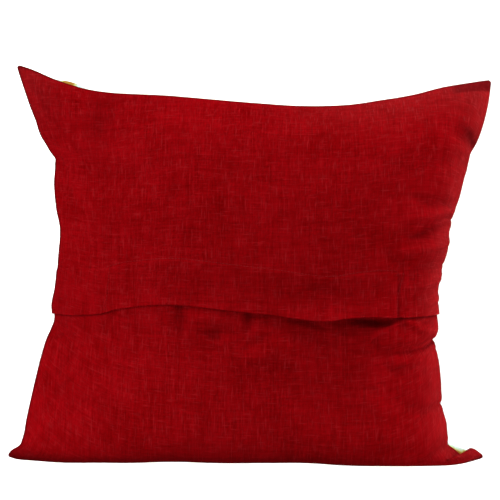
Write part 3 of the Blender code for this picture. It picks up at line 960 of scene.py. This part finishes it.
def spread(tree, value, low, high):
    """A smooth 0 to 1 ramp of a value between two limits."""
    limits = {"Value": value, "From Min": low, "From Max": high}
    return add_node(tree, "ShaderNodeMapRange", limits, interpolation_type="SMOOTHSTEP").outputs["Result"]


SEED_SHIFTS = (1.0, 0.7, 1.3)


def noise(tree, vector, scale_x, scale_y, detail, seed):
    """Noise whose grains are 1 / scale_x by 1 / scale_y metres, moved by a seed."""
    shift = [seed * share for share in SEED_SHIFTS]
    stretch = {"Vector": vector, "Scale": (scale_x, scale_y, 1.0), "Location": shift}
    mapped = add_node(tree, "ShaderNodeMapping", stretch).outputs["Vector"]
    grain = {"Vector": mapped, "Scale": 1.0, "Detail": detail}
    return add_node(tree, "ShaderNodeTexNoise", grain).outputs["Fac"]


# %% The weave as a node group
THREAD_PITCH = 0.00062
THREAD_MEAN = 0.75
THREAD_SWING = 0.25
Yarn = namedtuple("Yarn", "size_x size_y weight seed")
YARNS = [
    Yarn(0.0012, 0.026, 0.46, 3.1),
    Yarn(0.0024, 0.038, 0.42, 5.3),
    Yarn(0.0058, 0.050, 0.26, 7.9),
    Yarn(0.022, 0.0012, 0.33, 8.7),
    Yarn(0.032, 0.0022, 0.29, 2.2),
    Yarn(0.045, 0.0055, 0.26, 6.1),
]
YARN_DETAIL = 2.0
SLUB_WIDTH = 0.0013
SLUB_LENGTH = 0.0125
SLUB_DETAIL = 1.0
UPRIGHT_SLUB_SEED = 11.4
UPRIGHT_SLUBS = (0.53, 0.78)
LYING_SLUB_SEED = 17.6
LYING_SLUBS = (0.55, 0.80)
TONE_RELIEF = 1.6
MIDDLE_GREY = 0.5


def linen_weave_group():
    """Plain weave |sin| of each thread direction, and a tone that sums stretched noise of both yarns."""
    tree = bpy.data.node_groups.new("linen_weave", "ShaderNodeTree")
    tree.interface.new_socket("Cloth", in_out="INPUT", socket_type="NodeSocketVector")
    pitch = tree.interface.new_socket("Thread pitch", in_out="INPUT", socket_type="NodeSocketFloat")
    pitch.default_value = THREAD_PITCH
    for name in ("Height", "Tone", "Slubs"):
        tree.interface.new_socket(name, in_out="OUTPUT", socket_type="NodeSocketFloat")
    inputs = add_node(tree, "NodeGroupInput")
    cloth = inputs.outputs["Cloth"]
    split = add_node(tree, "ShaderNodeSeparateXYZ", {0: cloth})
    turn = maths(tree, "DIVIDE", math.pi, inputs.outputs["Thread pitch"])
    warp_wave = maths(tree, "SINE", maths(tree, "MULTIPLY", split.outputs["X"], turn))
    weft_wave = maths(tree, "SINE", maths(tree, "MULTIPLY", split.outputs["Y"], turn))
    over = maths(tree, "SIGN", maths(tree, "MULTIPLY", warp_wave, weft_wave))
    warp_top = maths(tree, "MULTIPLY_ADD", over, THREAD_SWING, THREAD_MEAN)
    weft_top = maths(tree, "MULTIPLY_ADD", over, -THREAD_SWING, THREAD_MEAN)
    warp = maths(tree, "MULTIPLY", maths(tree, "ABSOLUTE", warp_wave), warp_top)
    weft = maths(tree, "MULTIPLY", maths(tree, "ABSOLUTE", weft_wave), weft_top)
    threads = maths(tree, "MAXIMUM", warp, weft)

    tone = MIDDLE_GREY
    for yarn in YARNS:
        grain = noise(tree, cloth, 1 / yarn.size_x, 1 / yarn.size_y, YARN_DETAIL, yarn.seed)
        around_zero = maths(tree, "SUBTRACT", grain, MIDDLE_GREY)
        tone = maths(tree, "MULTIPLY_ADD", around_zero, yarn.weight, tone)
    upright = noise(tree, cloth, 1 / SLUB_WIDTH, 1 / SLUB_LENGTH, SLUB_DETAIL, UPRIGHT_SLUB_SEED)
    lying = noise(tree, cloth, 1 / SLUB_LENGTH, 1 / SLUB_WIDTH, SLUB_DETAIL, LYING_SLUB_SEED)
    slubs = maths(tree, "MAXIMUM", spread(tree, upright, *UPRIGHT_SLUBS), spread(tree, lying, *LYING_SLUBS))
    height = maths(tree, "MULTIPLY_ADD", tone, TONE_RELIEF, threads)
    add_node(tree, "NodeGroupOutput", {"Height": height, "Tone": tone, "Slubs": slubs})
    return tree


weave_group = linen_weave_group()
print("weave nodes:", len(weave_group.nodes))

# %% [markdown]
# ## Red cloth
#
# The colour is a deep red. The weave's tone runs from a deep to a lighter red, slubs lift it a little, and
# wide, faint clouds keep large areas from looking flat. The cloth is fully matt, because even a weak gloss
# turns so deep a red grey under soft lights. No sheen shader is used either: a painted sheen adds a little
# pale red, more on the slubs, the same pale red makes the thread paler, and the painted shade mixes in a
# very dark red.

# %% What both cloths share
CLOTH_ROUGHNESS = 0.82
CLOTH_GLOSS = 0.0
WEAVE_BUMP = 0.00022


def mixed(tree, factor, first, second, blend="MIX"):
    """The output of a Mix node for colours."""
    inputs = {"Factor": factor, "A": first, "B": second}
    return add_node(tree, "ShaderNodeMix", inputs, data_type="RGBA", blend_type=blend).outputs["Result"]


def cloth_base(name):
    """A matt material with the weave on the cloth's own UV map: material, tree, shader, places and weave."""
    material = bpy.data.materials.new(name)
    material.use_nodes = True
    tree = material.node_tree
    flat_cloth = add_node(tree, "ShaderNodeUVMap", uv_map="cloth").outputs["UV"]
    on_cloth = {"Cloth": flat_cloth, "Thread pitch": THREAD_PITCH}
    weave = add_node(tree, "ShaderNodeGroup", on_cloth, node_tree=weave_group)
    relief = {"Distance": WEAVE_BUMP, "Height": weave.outputs["Height"]}
    bumped = add_node(tree, "ShaderNodeBump", relief).outputs["Normal"]
    shader = tree.nodes["Principled BSDF"]
    fill(tree, shader, {"Roughness": CLOTH_ROUGHNESS, "Specular IOR Level": CLOTH_GLOSS, "Normal": bumped})
    return material, tree, shader, flat_cloth, weave


print("weave bump in mm:", WEAVE_BUMP / MM)

# %% Red cloth material
RED_LIGHT = (0.197, 0.0013, 0.0029, 1.0)
RED_DEEP = (0.087, 0.0, 0.0003, 1.0)
CLOUD_SCALES = (22.0, 30.0)
CLOUD_DETAIL = 3.0
CLOUD_SEED = 1.9
CLOUD_WEIGHT = 0.5
RED_SLUB = (0.245, 0.0115, 0.0140, 1.0)
SLUB_SHARE = 0.33
# Pale red that the painted sheen adds on the panels, and that makes the thread paler on the stitches.
RED_PALE_AND_SHEEN = (0.022, 0.0062, 0.0064, 1.0)
PALE_AND_SHEEN_ON_SLUBS = 0.9
PALE_AND_SHEEN_EVERYWHERE = 0.65
# Very dark red that the painted shade mixes in.
RED_PAINTED_SHADE = (0.016, 0.0006, 0.0010, 1.0)
PAINTED_SHADE_STRENGTH = 0.75


def red_cloth_material():
    """Deep and light red mixed by the tone, the slubs mixed in, the painted sheen and the thread's paleness
    added, the painted shade mixed in.
    """
    material, tree, shader, flat_cloth, weave = cloth_base("red_linen")
    clouds = noise(tree, flat_cloth, *CLOUD_SCALES, CLOUD_DETAIL, CLOUD_SEED)
    around_zero = maths(tree, "SUBTRACT", clouds, MIDDLE_GREY)
    tone = maths(tree, "MULTIPLY_ADD", around_zero, CLOUD_WEIGHT, weave.outputs["Tone"])
    cloth_red = mixed(tree, spread(tree, tone, 0.0, 1.0), RED_DEEP, RED_LIGHT)
    slubs = maths(tree, "MULTIPLY", weave.outputs["Slubs"], SLUB_SHARE)
    cloth_red = mixed(tree, slubs, cloth_red, RED_SLUB)
    # One attribute carries the painted sheen of the panels and the thread's own paleness.
    pale = add_node(tree, "ShaderNodeAttribute", attribute_name="paleness_and_sheen")
    pale_and_sheen = maths(tree, "MULTIPLY_ADD", weave.outputs["Slubs"], PALE_AND_SHEEN_ON_SLUBS, PALE_AND_SHEEN_EVERYWHERE)
    pale_and_sheen = maths(tree, "MULTIPLY", pale_and_sheen, pale.outputs["Fac"])
    cloth_red = mixed(tree, pale_and_sheen, cloth_red, RED_PALE_AND_SHEEN, "ADD")
    # The painted shade, read from its attribute.
    painted_shade_node = add_node(tree, "ShaderNodeAttribute", attribute_name="seam_shade")
    painted_shade_share = maths(tree, "MULTIPLY", painted_shade_node.outputs["Fac"], PAINTED_SHADE_STRENGTH)
    fill(tree, shader, {"Base Color": mixed(tree, painted_shade_share, cloth_red, RED_PAINTED_SHADE)})
    return material


red_linen = red_cloth_material()
print("red cloth nodes:", len(red_linen.node_tree.nodes))

# %% [markdown]
# ## Printed cloth
#
# The front only shows as slivers behind the seams, white with touches of ochre, green and teal. It gets a
# plain leaf repeat in those colours: a cell pattern scatters centres over the flat cloth, each is turned by
# its own random angle, and a pointed leaf is where the half width w (1 - (y / l)^2) is more than |x|. A
# second, finer cell pattern adds small dots. Where a sliver shows from above, a painted border value mixes
# in its own colours: pale teal where the value is low, ochre where it is high.

# %% Cells and colours of the print
LEAF_COLOURS = [
    (0.62, 0.42, 0.03, 1.0),
    (0.36, 0.45, 0.05, 1.0),
    (0.02, 0.27, 0.30, 1.0),
    (0.05, 0.05, 0.06, 1.0),
    (0.45, 0.62, 0.42, 1.0),
]
LEAF_STOPS = [(i / len(LEAF_COLOURS), colour) for i, colour in enumerate(LEAF_COLOURS)]


def cells(tree, vector, size, randomness):
    """Voronoi cells of a size in metres: the place from the cell's centre (m) and three random numbers."""
    scaled = add_node(tree, "ShaderNodeVectorMath", {0: vector, "Scale": 1 / size}, operation="SCALE")
    pattern = {"Scale": 1.0, "Randomness": randomness, "Vector": scaled.outputs[0]}
    voronoi = add_node(tree, "ShaderNodeTexVoronoi", pattern, voronoi_dimensions="2D")
    ends = {0: scaled.outputs[0], 1: voronoi.outputs["Position"]}
    offset = add_node(tree, "ShaderNodeVectorMath", ends, operation="SUBTRACT").outputs[0]
    local = add_node(tree, "ShaderNodeVectorMath", {0: offset, "Scale": size}, operation="SCALE")
    chances = add_node(tree, "ShaderNodeSeparateColor", {0: voronoi.outputs["Color"]})
    return local.outputs[0], chances.outputs


def colour_ramp(tree, value, stops, interpolation):
    """Colours by a value, from rows of a place between 0 and 1 and its colour."""
    ramp = add_node(tree, "ShaderNodeValToRGB", {"Fac": value})
    ramp.color_ramp.interpolation = interpolation
    elements = ramp.color_ramp.elements
    while len(elements) < len(stops):
        elements.new(1.0)
    for element, (position, colour) in zip(elements, stops):
        element.position = position
        element.color = colour
    return ramp.outputs["Color"]


print("colours of the print:", len(LEAF_COLOURS))

# %% Leaf print as a node group
PRINT_WHITE = (0.68, 0.665, 0.62, 1.0)
LEAF_CELL = 0.062
LEAF_SCATTER = 0.55
LEAF_HALF_WIDTH = 0.0085
LEAF_HALF_LENGTH = 0.026
LEAF_EDGE = 0.0005
LEAF_RIB = (0.00042, 0.0007)
DOT_CELL = 0.023
DOT_SCATTER = 0.8
DOT_RADIUS = 0.0022
DOT_EDGE = 0.0004
CELLS_WITHOUT_DOT = 0.35


def leaf_print_group():
    """Leaves and dots on off-white, from the flat cloth's coordinates in metres."""
    tree = bpy.data.node_groups.new("leaf_print", "ShaderNodeTree")
    tree.interface.new_socket("Cloth", in_out="INPUT", socket_type="NodeSocketVector")
    tree.interface.new_socket("Colour", in_out="OUTPUT", socket_type="NodeSocketColor")
    flat_cloth = add_node(tree, "NodeGroupInput").outputs["Cloth"]
    local, chances = cells(tree, flat_cloth, LEAF_CELL, LEAF_SCATTER)
    turn = {"Vector": local, "Angle": maths(tree, "MULTIPLY", chances[0], 2 * math.pi)}
    turned = add_node(tree, "ShaderNodeVectorRotate", turn, rotation_type="Z_AXIS")
    place = add_node(tree, "ShaderNodeSeparateXYZ", {0: turned.outputs[0]})
    along = maths(tree, "DIVIDE", place.outputs["Y"], LEAF_HALF_LENGTH)
    squared = maths(tree, "POWER", maths(tree, "ABSOLUTE", along), 2.0)
    half_width = maths(tree, "MULTIPLY_ADD", squared, -LEAF_HALF_WIDTH, LEAF_HALF_WIDTH)
    aside = maths(tree, "ABSOLUTE", place.outputs["X"])
    leaf = spread(tree, maths(tree, "SUBTRACT", half_width, aside), 0.0, LEAF_EDGE)
    leaf = maths(tree, "MULTIPLY", leaf, spread(tree, aside, *LEAF_RIB))
    leaves = mixed(tree, leaf, PRINT_WHITE, colour_ramp(tree, chances[1], LEAF_STOPS, "CONSTANT"))
    from_dot, chances = cells(tree, flat_cloth, DOT_CELL, DOT_SCATTER)
    away = add_node(tree, "ShaderNodeVectorMath", {0: from_dot}, operation="LENGTH").outputs["Value"]
    dot = spread(tree, maths(tree, "SUBTRACT", DOT_RADIUS, away), 0.0, DOT_EDGE)
    dot = maths(tree, "MULTIPLY", dot, maths(tree, "GREATER_THAN", chances[2], CELLS_WITHOUT_DOT))
    dots = mixed(tree, dot, leaves, colour_ramp(tree, chances[1], LEAF_STOPS, "CONSTANT"))
    add_node(tree, "NodeGroupOutput", {"Colour": dots})
    return tree


print_group = leaf_print_group()
print("print nodes:", len(print_group.nodes))

# %% Printed cloth material
BORDER_STOPS = [
    (0.15, (0.42, 0.56, 0.51, 1.0)),
    (0.42, (0.36, 0.38, 0.14, 1.0)),
    (0.62, (0.24, 0.12, 0.02, 1.0)),
]
BORDER_EDGE = 0.08


def printed_cloth_material():
    """Off-white cloth with the leaf print and the border's colours, on the same weave."""
    material, tree, shader, flat_cloth, _ = cloth_base("printed_linen")
    design = add_node(tree, "ShaderNodeGroup", {"Cloth": flat_cloth}, node_tree=print_group)
    border = add_node(tree, "ShaderNodeAttribute", attribute_name="border").outputs["Fac"]
    edge = colour_ramp(tree, border, BORDER_STOPS, "LINEAR")
    colour = mixed(tree, spread(tree, border, 0.0, BORDER_EDGE), design.outputs["Colour"], edge)
    fill(tree, shader, {"Base Color": colour})
    return material


printed_linen = printed_cloth_material()
print("printed cloth nodes:", len(printed_linen.node_tree.nodes))

# %% [markdown]
# ## The filled cover
#
# The front panel with its stuffing is one closed body, as the two bend as one. Its upper face follows the
# red side with its folds, 2 mm deeper, so that the red panels never cut into it. They hide it from above,
# except at two places where the printed cloth rolls over the seam: the upper left and the lower right ear.

# %% Front panel, filled
BODY_COLUMNS = 150
BODY_ROWS = 130
EDGE_CROWDS = [Crowd(0.0, 0.06, 2.0), Crowd(1.0, 0.06, 2.0)]
BODY_SINK = 2.0
EAR_SINK = 3.0
EAR_SINK_FULL_AT = (0.02, 0.012)
EAR_SINK_REACH = (0.12, 0.05)
EAR_SINK_AT_V = 0.02

body_u, body_v = np.meshgrid(spaced(BODY_COLUMNS, EDGE_CROWDS), spaced(BODY_ROWS, EDGE_CROWDS))
body_smooth = smooth_red_side(body_u, body_v)
body_smooth[..., 1] += curled_ear(body_u, body_v)
body_relief, _ = reliefs(body_smooth[..., :2])
away_from_seam = step(0.0, FOLDS_FULL_AT, fullness(body_u, body_v))
body_outward = normals_of(body_smooth)
body_top = raised(body_smooth, body_outward, body_relief * away_from_seam + puckers(body_u, body_v))
body_top -= body_outward * BODY_SINK * away_from_seam[..., None]
inside_ear = step(0.0, EAR_SINK_FULL_AT[0], 1 - body_u) * step(0.0, EAR_SINK_FULL_AT[1], body_v)
near_ear = bell(body_u, 1.0, EAR_SINK_REACH[0]) * bell(body_v, EAR_SINK_AT_V, EAR_SINK_REACH[1])
body_top[..., 2] -= EAR_SINK * inside_ear * near_ear
body_bottom = print_side(body_u, body_v)
front = closed_piece("front_cloth", body_top, body_bottom, flat_places(body_v, body_bottom), printed_linen)

# %% Border where the print shows
RIGHT_EAR_BORDER_REACH = (0.2, 0.15)
LEFT_BORDER = 0.45
LEFT_BORDER_REACH = 0.05
TOP_SLIVER_U = 0.102
TOP_SLIVER_REACH = (0.015, 0.022)

right_ear = bell(body_u, 1.0, RIGHT_EAR_BORDER_REACH[0]) * bell(body_v, 0.0, RIGHT_EAR_BORDER_REACH[1])
border_on_top = np.maximum(right_ear, LEFT_BORDER * bell(body_u, 0.0, LEFT_BORDER_REACH))
border_below = bell(body_u, TOP_SLIVER_U, TOP_SLIVER_REACH[0]) * bell(body_v, 1.0, TOP_SLIVER_REACH[1])
border = np.concatenate([border_on_top.ravel(), border_below.ravel()])
front.data.attributes.new("border", "FLOAT", "POINT").data.foreach_set("value", border.astype(np.float32))
print("points with more than half of the border:", int((border > 0.5).sum()))

# %% [markdown]
# ## The two red panels
#
# Both panels lie on the filling at a small distance. The lower one runs from the lower seam to an edge that
# is hidden under the lap. The upper one runs from the hem to the upper seam, and lies on the lower one in
# the lap. Each is a sheet of two fine grids, as the folds are finer than a coarse, subdivided mesh holds.

# %% Lower panel
CLOTH_GAP = 0.4
CLOTH_THICKNESS = 1.2
COLUMNS = 300
ROWS_BELOW_HEM = 150
ROWS_LAP_HIDDEN = 16
STITCH_CROWDS = [Crowd(0.859, 0.006, 3.0), Crowd(0.147, 0.006, 2.0)]

columns_u = spaced(COLUMNS, EDGE_CROWDS + STITCH_CROWDS)
hem_v = hem_share(columns_u)
below_hem = spaced(ROWS_BELOW_HEM, [Crowd(0.0, 0.12, 1.6), Crowd(1.0, 0.2, 1.2)])[:, None]
lap_rows = np.linspace(0.0, 1.0, ROWS_LAP_HIDDEN + 1)[1:, None]
lower_v = np.concatenate([hem_v * below_hem, hem_v + LAP_SHARE * lap_rows])
lower_u = np.broadcast_to(columns_u, lower_v.shape)
lower_skin, lower_out = cloth_side(lower_u, lower_v)
lower_panel = closed_piece(
    "lower_red_panel",
    lower_skin + lower_out * (CLOTH_GAP + CLOTH_THICKNESS),
    lower_skin + lower_out * CLOTH_GAP,
    flat_places(lower_v, smooth_red_side(lower_u, lower_v)),
    red_linen,
    {"seam_shade": shade_of_seams(lower_skin, False), "paleness_and_sheen": paleness_and_sheen(lower_skin, False)},
)

# %% [markdown]
# ## The upper panel and its hem
#
# The hem is the panel's own cloth turned under by 46 mm and sewn down with one line of stitches, so this
# band is thicker, with a groove where the thread pulls it in. Near both side seams the hem is sewn to the
# lower panel, each time by a short upright line. Between them it is free: its lip flares, most where the
# pocket is, and leaves a dark gap. The fold itself is not modelled, as only its thickness shows.

# %% Grid of the upper panel
ROWS_HEM = 60
ROWS_ABOVE = 88

hem_band = spaced(ROWS_HEM, [Crowd(0.0, 0.08, 2.5), Crowd(HEM_DEPTH / LAP_DEPTH, 0.02, 4.0)])[:, None]
above_lap = spaced(ROWS_ABOVE, [Crowd(1.0, 0.12, 1.6)])[1:, None]
hem_rows = hem_v + LAP_SHARE * hem_band
upper_v = np.concatenate([hem_rows, hem_rows[-1] + (1 - hem_rows[-1]) * above_lap])
upper_u = np.broadcast_to(columns_u, upper_v.shape)
upper_skin, upper_out = cloth_side(upper_u, upper_v, over_lap=True)
upper_x = upper_skin[..., 0]
from_hem = arc_length(upper_skin, 0)
print("length of the upper panel at its middle in mm:", from_hem[-1, COLUMNS // 2].round(1))

# %% Lip, hem and grooves of the upper panel
HEM_THICKNESS = 2.0
HEM_GROOVE = 0.45
HEM_GROOVE_REACH = 1.2
FOLD_END = (HEM_DEPTH - 1.0, HEM_DEPTH + 2.0)
CLOSURE_GROOVES = [(CLOSURE_RIGHT, 1.1), (CLOSURE_LEFT, 0.44)]
CLOSURE_GROOVE_REACH = 1.1
CLOSURE_GROOVE_END = (HEM_DEPTH - 2.0, HEM_DEPTH + 1.0)
LIP_X = [-142.0, -110.0, -40.0, 10.0, 34.0, 51.0, 66.0, 76.0, 88.0, 106.0, 126.0, 146.0]
LIP_OFF = [0.0, 0.3, 0.3, 1.2, 1.2, 4.2, 5.6, 4.4, 6.4, 4.2, 2.8, 0.0]
LIP_REACH = 11.0
LIP_POWER = 1.5
LAP_STEP = 45.0

free = (upper_x > CLOSURE_LEFT) & (upper_x < CLOSURE_RIGHT)
lip = smooth_curve(LIP_X, LIP_OFF, upper_x) * np.exp(-((from_hem / LIP_REACH) ** LIP_POWER)) * free
past_lap = step(LAP_DEPTH, LAP_DEPTH + LAP_STEP, from_hem)
stand_off = CLOTH_GAP + (CLOTH_GAP + CLOTH_THICKNESS) * (1 - past_lap) + lip
thickness = CLOTH_THICKNESS + (HEM_THICKNESS - CLOTH_THICKNESS) * (1 - step(*FOLD_END, from_hem))
thickness -= HEM_GROOVE * bell(from_hem, HEM_DEPTH, HEM_GROOVE_REACH)
in_hem = 1 - step(*CLOSURE_GROOVE_END, from_hem)
for closure_x, depth in CLOSURE_GROOVES:
    thickness -= depth * bell(upper_x, closure_x, CLOSURE_GROOVE_REACH) * in_hem
upper_outer = upper_skin + upper_out * (stand_off + thickness)[..., None]
upper_panel = closed_piece(
    "upper_red_panel",
    upper_outer,
    upper_skin + upper_out * stand_off[..., None],
    flat_places(upper_v, smooth_red_side(upper_u, upper_v)),
    red_linen,
    {"seam_shade": shade_of_seams(upper_skin, True), "paleness_and_sheen": paleness_and_sheen(upper_skin, True)},
)

# %% [markdown]
# ## Stitches
#
# The hem is sewn down with one line of small stitches along its depth, and shut by an upright line at each
# end. Each stitch is a short bead of thread, half sunk into the groove. All of them are one mesh: the rings
# of a bead are repeated at every step along a line of points on the panel. A painted line would be lighter,
# but would not catch the light along its crest. The thread is a little paler than the cloth.

# %% Beads of thread along a line
STITCH_LENGTH = 2.6
STITCH_STEP = 3.4
STITCH_RADIUS = 0.34
STITCH_RINGS = [(-1.0, 0.45), (-0.75, 0.9), (0.0, 1.0), (0.75, 0.9), (1.0, 0.45)]
STITCH_SIDES = 6


def stitch_beads(line, outward):
    """Points and quads of one bead for every step along a line of points with their normals (mm)."""
    walked = arc_length(line, 0)
    centres_at = np.arange(STITCH_STEP, walked[-1] - STITCH_STEP / 2, STITCH_STEP)
    pick = lambda values: np.stack([np.interp(centres_at, walked, values[:, k]) for k in range(3)], axis=-1)
    centres, up, ahead = pick(line), pick(outward), pick(np.gradient(line, axis=0))
    ahead /= np.linalg.norm(ahead, axis=-1, keepdims=True)
    side = np.cross(up, ahead)
    around = np.arange(STITCH_SIDES) * 2 * math.pi / STITCH_SIDES
    rings = np.array(STITCH_RINGS)
    forward = np.broadcast_to(rings[:, :1] * STITCH_LENGTH / 2, (len(rings), STITCH_SIDES))
    out = rings[:, 1:] * STITCH_RADIUS * np.cos(around)
    aside = rings[:, 1:] * STITCH_RADIUS * np.sin(around)
    points = (
        centres[:, None, None]
        + forward[None, ..., None] * ahead[:, None, None]
        + out[None, ..., None] * up[:, None, None]
        + aside[None, ..., None] * side[:, None, None]
    )
    ring, step_round = np.meshgrid(np.arange(len(rings) - 1), np.arange(STITCH_SIDES), indexing="ij")
    here = ring * STITCH_SIDES + step_round
    beside = ring * STITCH_SIDES + (step_round + 1) % STITCH_SIDES
    quads = np.stack([here, beside, beside + STITCH_SIDES, here + STITCH_SIDES], axis=-1).reshape(-1, 4)
    last = (len(rings) - 1) * STITCH_SIDES
    halves = np.array([[0, 1, 2, 3], [0, 3, 4, 5]])
    each = np.concatenate([quads, halves[:, ::-1], last + halves])
    firsts = np.arange(len(centres))[:, None, None] * len(rings) * STITCH_SIDES
    return points.reshape(-1, 3), (each[None] + firsts).reshape(-1, 4)


print("points of one bead:", len(STITCH_RINGS) * STITCH_SIDES)

# %% The three lines of stitches
THREAD_PALENESS = 1.2

hem_row = np.abs(from_hem[:, COLUMNS // 2] - HEM_DEPTH).argmin()
between = (upper_x[hem_row] > CLOSURE_LEFT) & (upper_x[hem_row] < CLOSURE_RIGHT)
lines = [(upper_outer[hem_row, between], upper_out[hem_row, between])]
for closure in (CLOSURE_LEFT, CLOSURE_RIGHT):
    column = np.abs(upper_x[0] - closure).argmin()
    lines.append((upper_outer[:hem_row, column], upper_out[:hem_row, column]))
beads = [stitch_beads(line, outward) for line, outward in lines]
starts = np.cumsum([0] + [len(points) for points, _ in beads[:-1]])
stitch_points = np.concatenate([points for points, _ in beads])
stitch_quads = np.concatenate([quads + start for (_, quads), start in zip(beads, starts)])
thread = {"paleness_and_sheen": np.full(len(stitch_points), THREAD_PALENESS)}
thread_places = stitch_points[:, :2] * MM
stitches = mesh_object("hem_stitches", stitch_points, stitch_quads, thread_places, red_linen, thread)
print("stitches:", len(stitch_points) // (len(STITCH_RINGS) * STITCH_SIDES))

# %% [markdown]
# ## What stands for what
#
# Every piece rides on the one body of the row. The three cloths replace their solids, which are hidden.

for piece, node, slot_name in (
    (front, "front_panel", "printed_cloth"),
    (lower_panel, "lower_back_panel", "red_cloth"),
    (upper_panel, "upper_back_panel", "red_cloth"),
):
    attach(piece, "root")
    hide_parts(node)
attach(stitches, "root")

# %% [markdown]
# ## Floor
#
# The photograph's ground is an even white. A pale, plain floor under soft light would be grey in places, so
# it glows a little. That also hides most of the cushion's own shadow.

# %% Pale floor
FLOOR_CORNERS = [(-6.0, -6.0, 0.0), (6.0, -6.0, 0.0), (6.0, 6.0, 0.0), (-6.0, 6.0, 0.0)]
FLOOR_GREY = (0.92, 0.92, 0.92, 1.0)
FLOOR_ROUGHNESS = 0.9
FLOOR_GLOW = 0.30
WHITE = (1.0, 1.0, 1.0, 1.0)

floor_mesh = bpy.data.meshes.new("floor")
floor_mesh.from_pydata(FLOOR_CORNERS, [], [(0, 1, 2, 3)])
floor = bpy.data.objects.new("floor", floor_mesh)
bpy.context.scene.collection.objects.link(floor)
floor_paint = bpy.data.materials.new("floor_paint")
floor_paint.use_nodes = True
paint = {"Base Color": FLOOR_GREY, "Roughness": FLOOR_ROUGHNESS}
glow = {"Emission Color": WHITE, "Emission Strength": FLOOR_GLOW}
fill(floor_paint.node_tree, floor_paint.node_tree.nodes["Principled BSDF"], paint | glow)
floor_mesh.materials.append(floor_paint)
print("floor glow:", FLOOR_GLOW)

# %% [markdown]
# ## Light
#
# Four soft boxes stand round the cushion, as in a small studio. The one beyond the top seam and the two on
# the left give the crown its shape. A long, very low one on the right picks out the fan of folds there. A
# weak white sky, slightly brighter towards the top seam, keeps the shadows open.

# %% Soft boxes
Softbox = namedtuple("Softbox", "name azimuth elevation width height power")
SOFTBOXES = [
    Softbox("top_light", 73, 18, 1.4, 0.9, 127.0),
    Softbox("left_light", 156, 30, 1.4, 1.0, 80.0),
    Softbox("front_left_light", 212, 48, 1.2, 1.2, 88.0),
    Softbox("rim_light", -8, 3, 1.6, 0.24, 150.0),
]
LIGHT_DISTANCE = 3.0
LIGHT_AIM = Vector((0.0, 0.0, 0.08))


def place_round(azimuth, elevation, distance):
    """A place at a distance in metres, at an azimuth turned from +X and an elevation over the floor."""
    around = math.radians(azimuth)
    up = math.radians(elevation)
    flat = distance * math.cos(up)
    return Vector((flat * math.cos(around), flat * math.sin(around), distance * math.sin(up)))


for box in SOFTBOXES:
    data = bpy.data.lights.new(box.name, "AREA")
    data.shape = "RECTANGLE"
    data.size = box.width
    data.size_y = box.height
    data.energy = box.power
    light = bpy.data.objects.new(box.name, data)
    light.location = place_round(box.azimuth, box.elevation, LIGHT_DISTANCE)
    light.rotation_mode = "QUATERNION"
    light.rotation_quaternion = (light.location - LIGHT_AIM).to_track_quat("Z", "Y")
    bpy.context.scene.collection.objects.link(light)
print("soft boxes:", len(SOFTBOXES))

# %% Sky
SKY_LOW = 0.10
SKY_HIGH = 0.12

sky = bpy.data.worlds.new("sky")
bpy.context.scene.world = sky
sky.use_nodes = True
tree = sky.node_tree
direction = add_node(tree, "ShaderNodeTexCoord").outputs["Generated"]
towards_top = add_node(tree, "ShaderNodeSeparateXYZ", {0: direction}).outputs["Y"]
limits = {"Value": towards_top, "From Min": -1.0, "To Min": SKY_LOW, "To Max": SKY_HIGH}
strength = add_node(tree, "ShaderNodeMapRange", limits, interpolation_type="SMOOTHSTEP").outputs["Result"]
fill(tree, tree.nodes["Background"], {"Color": WHITE, "Strength": strength})
print("sky strength:", SKY_LOW, "to", SKY_HIGH)
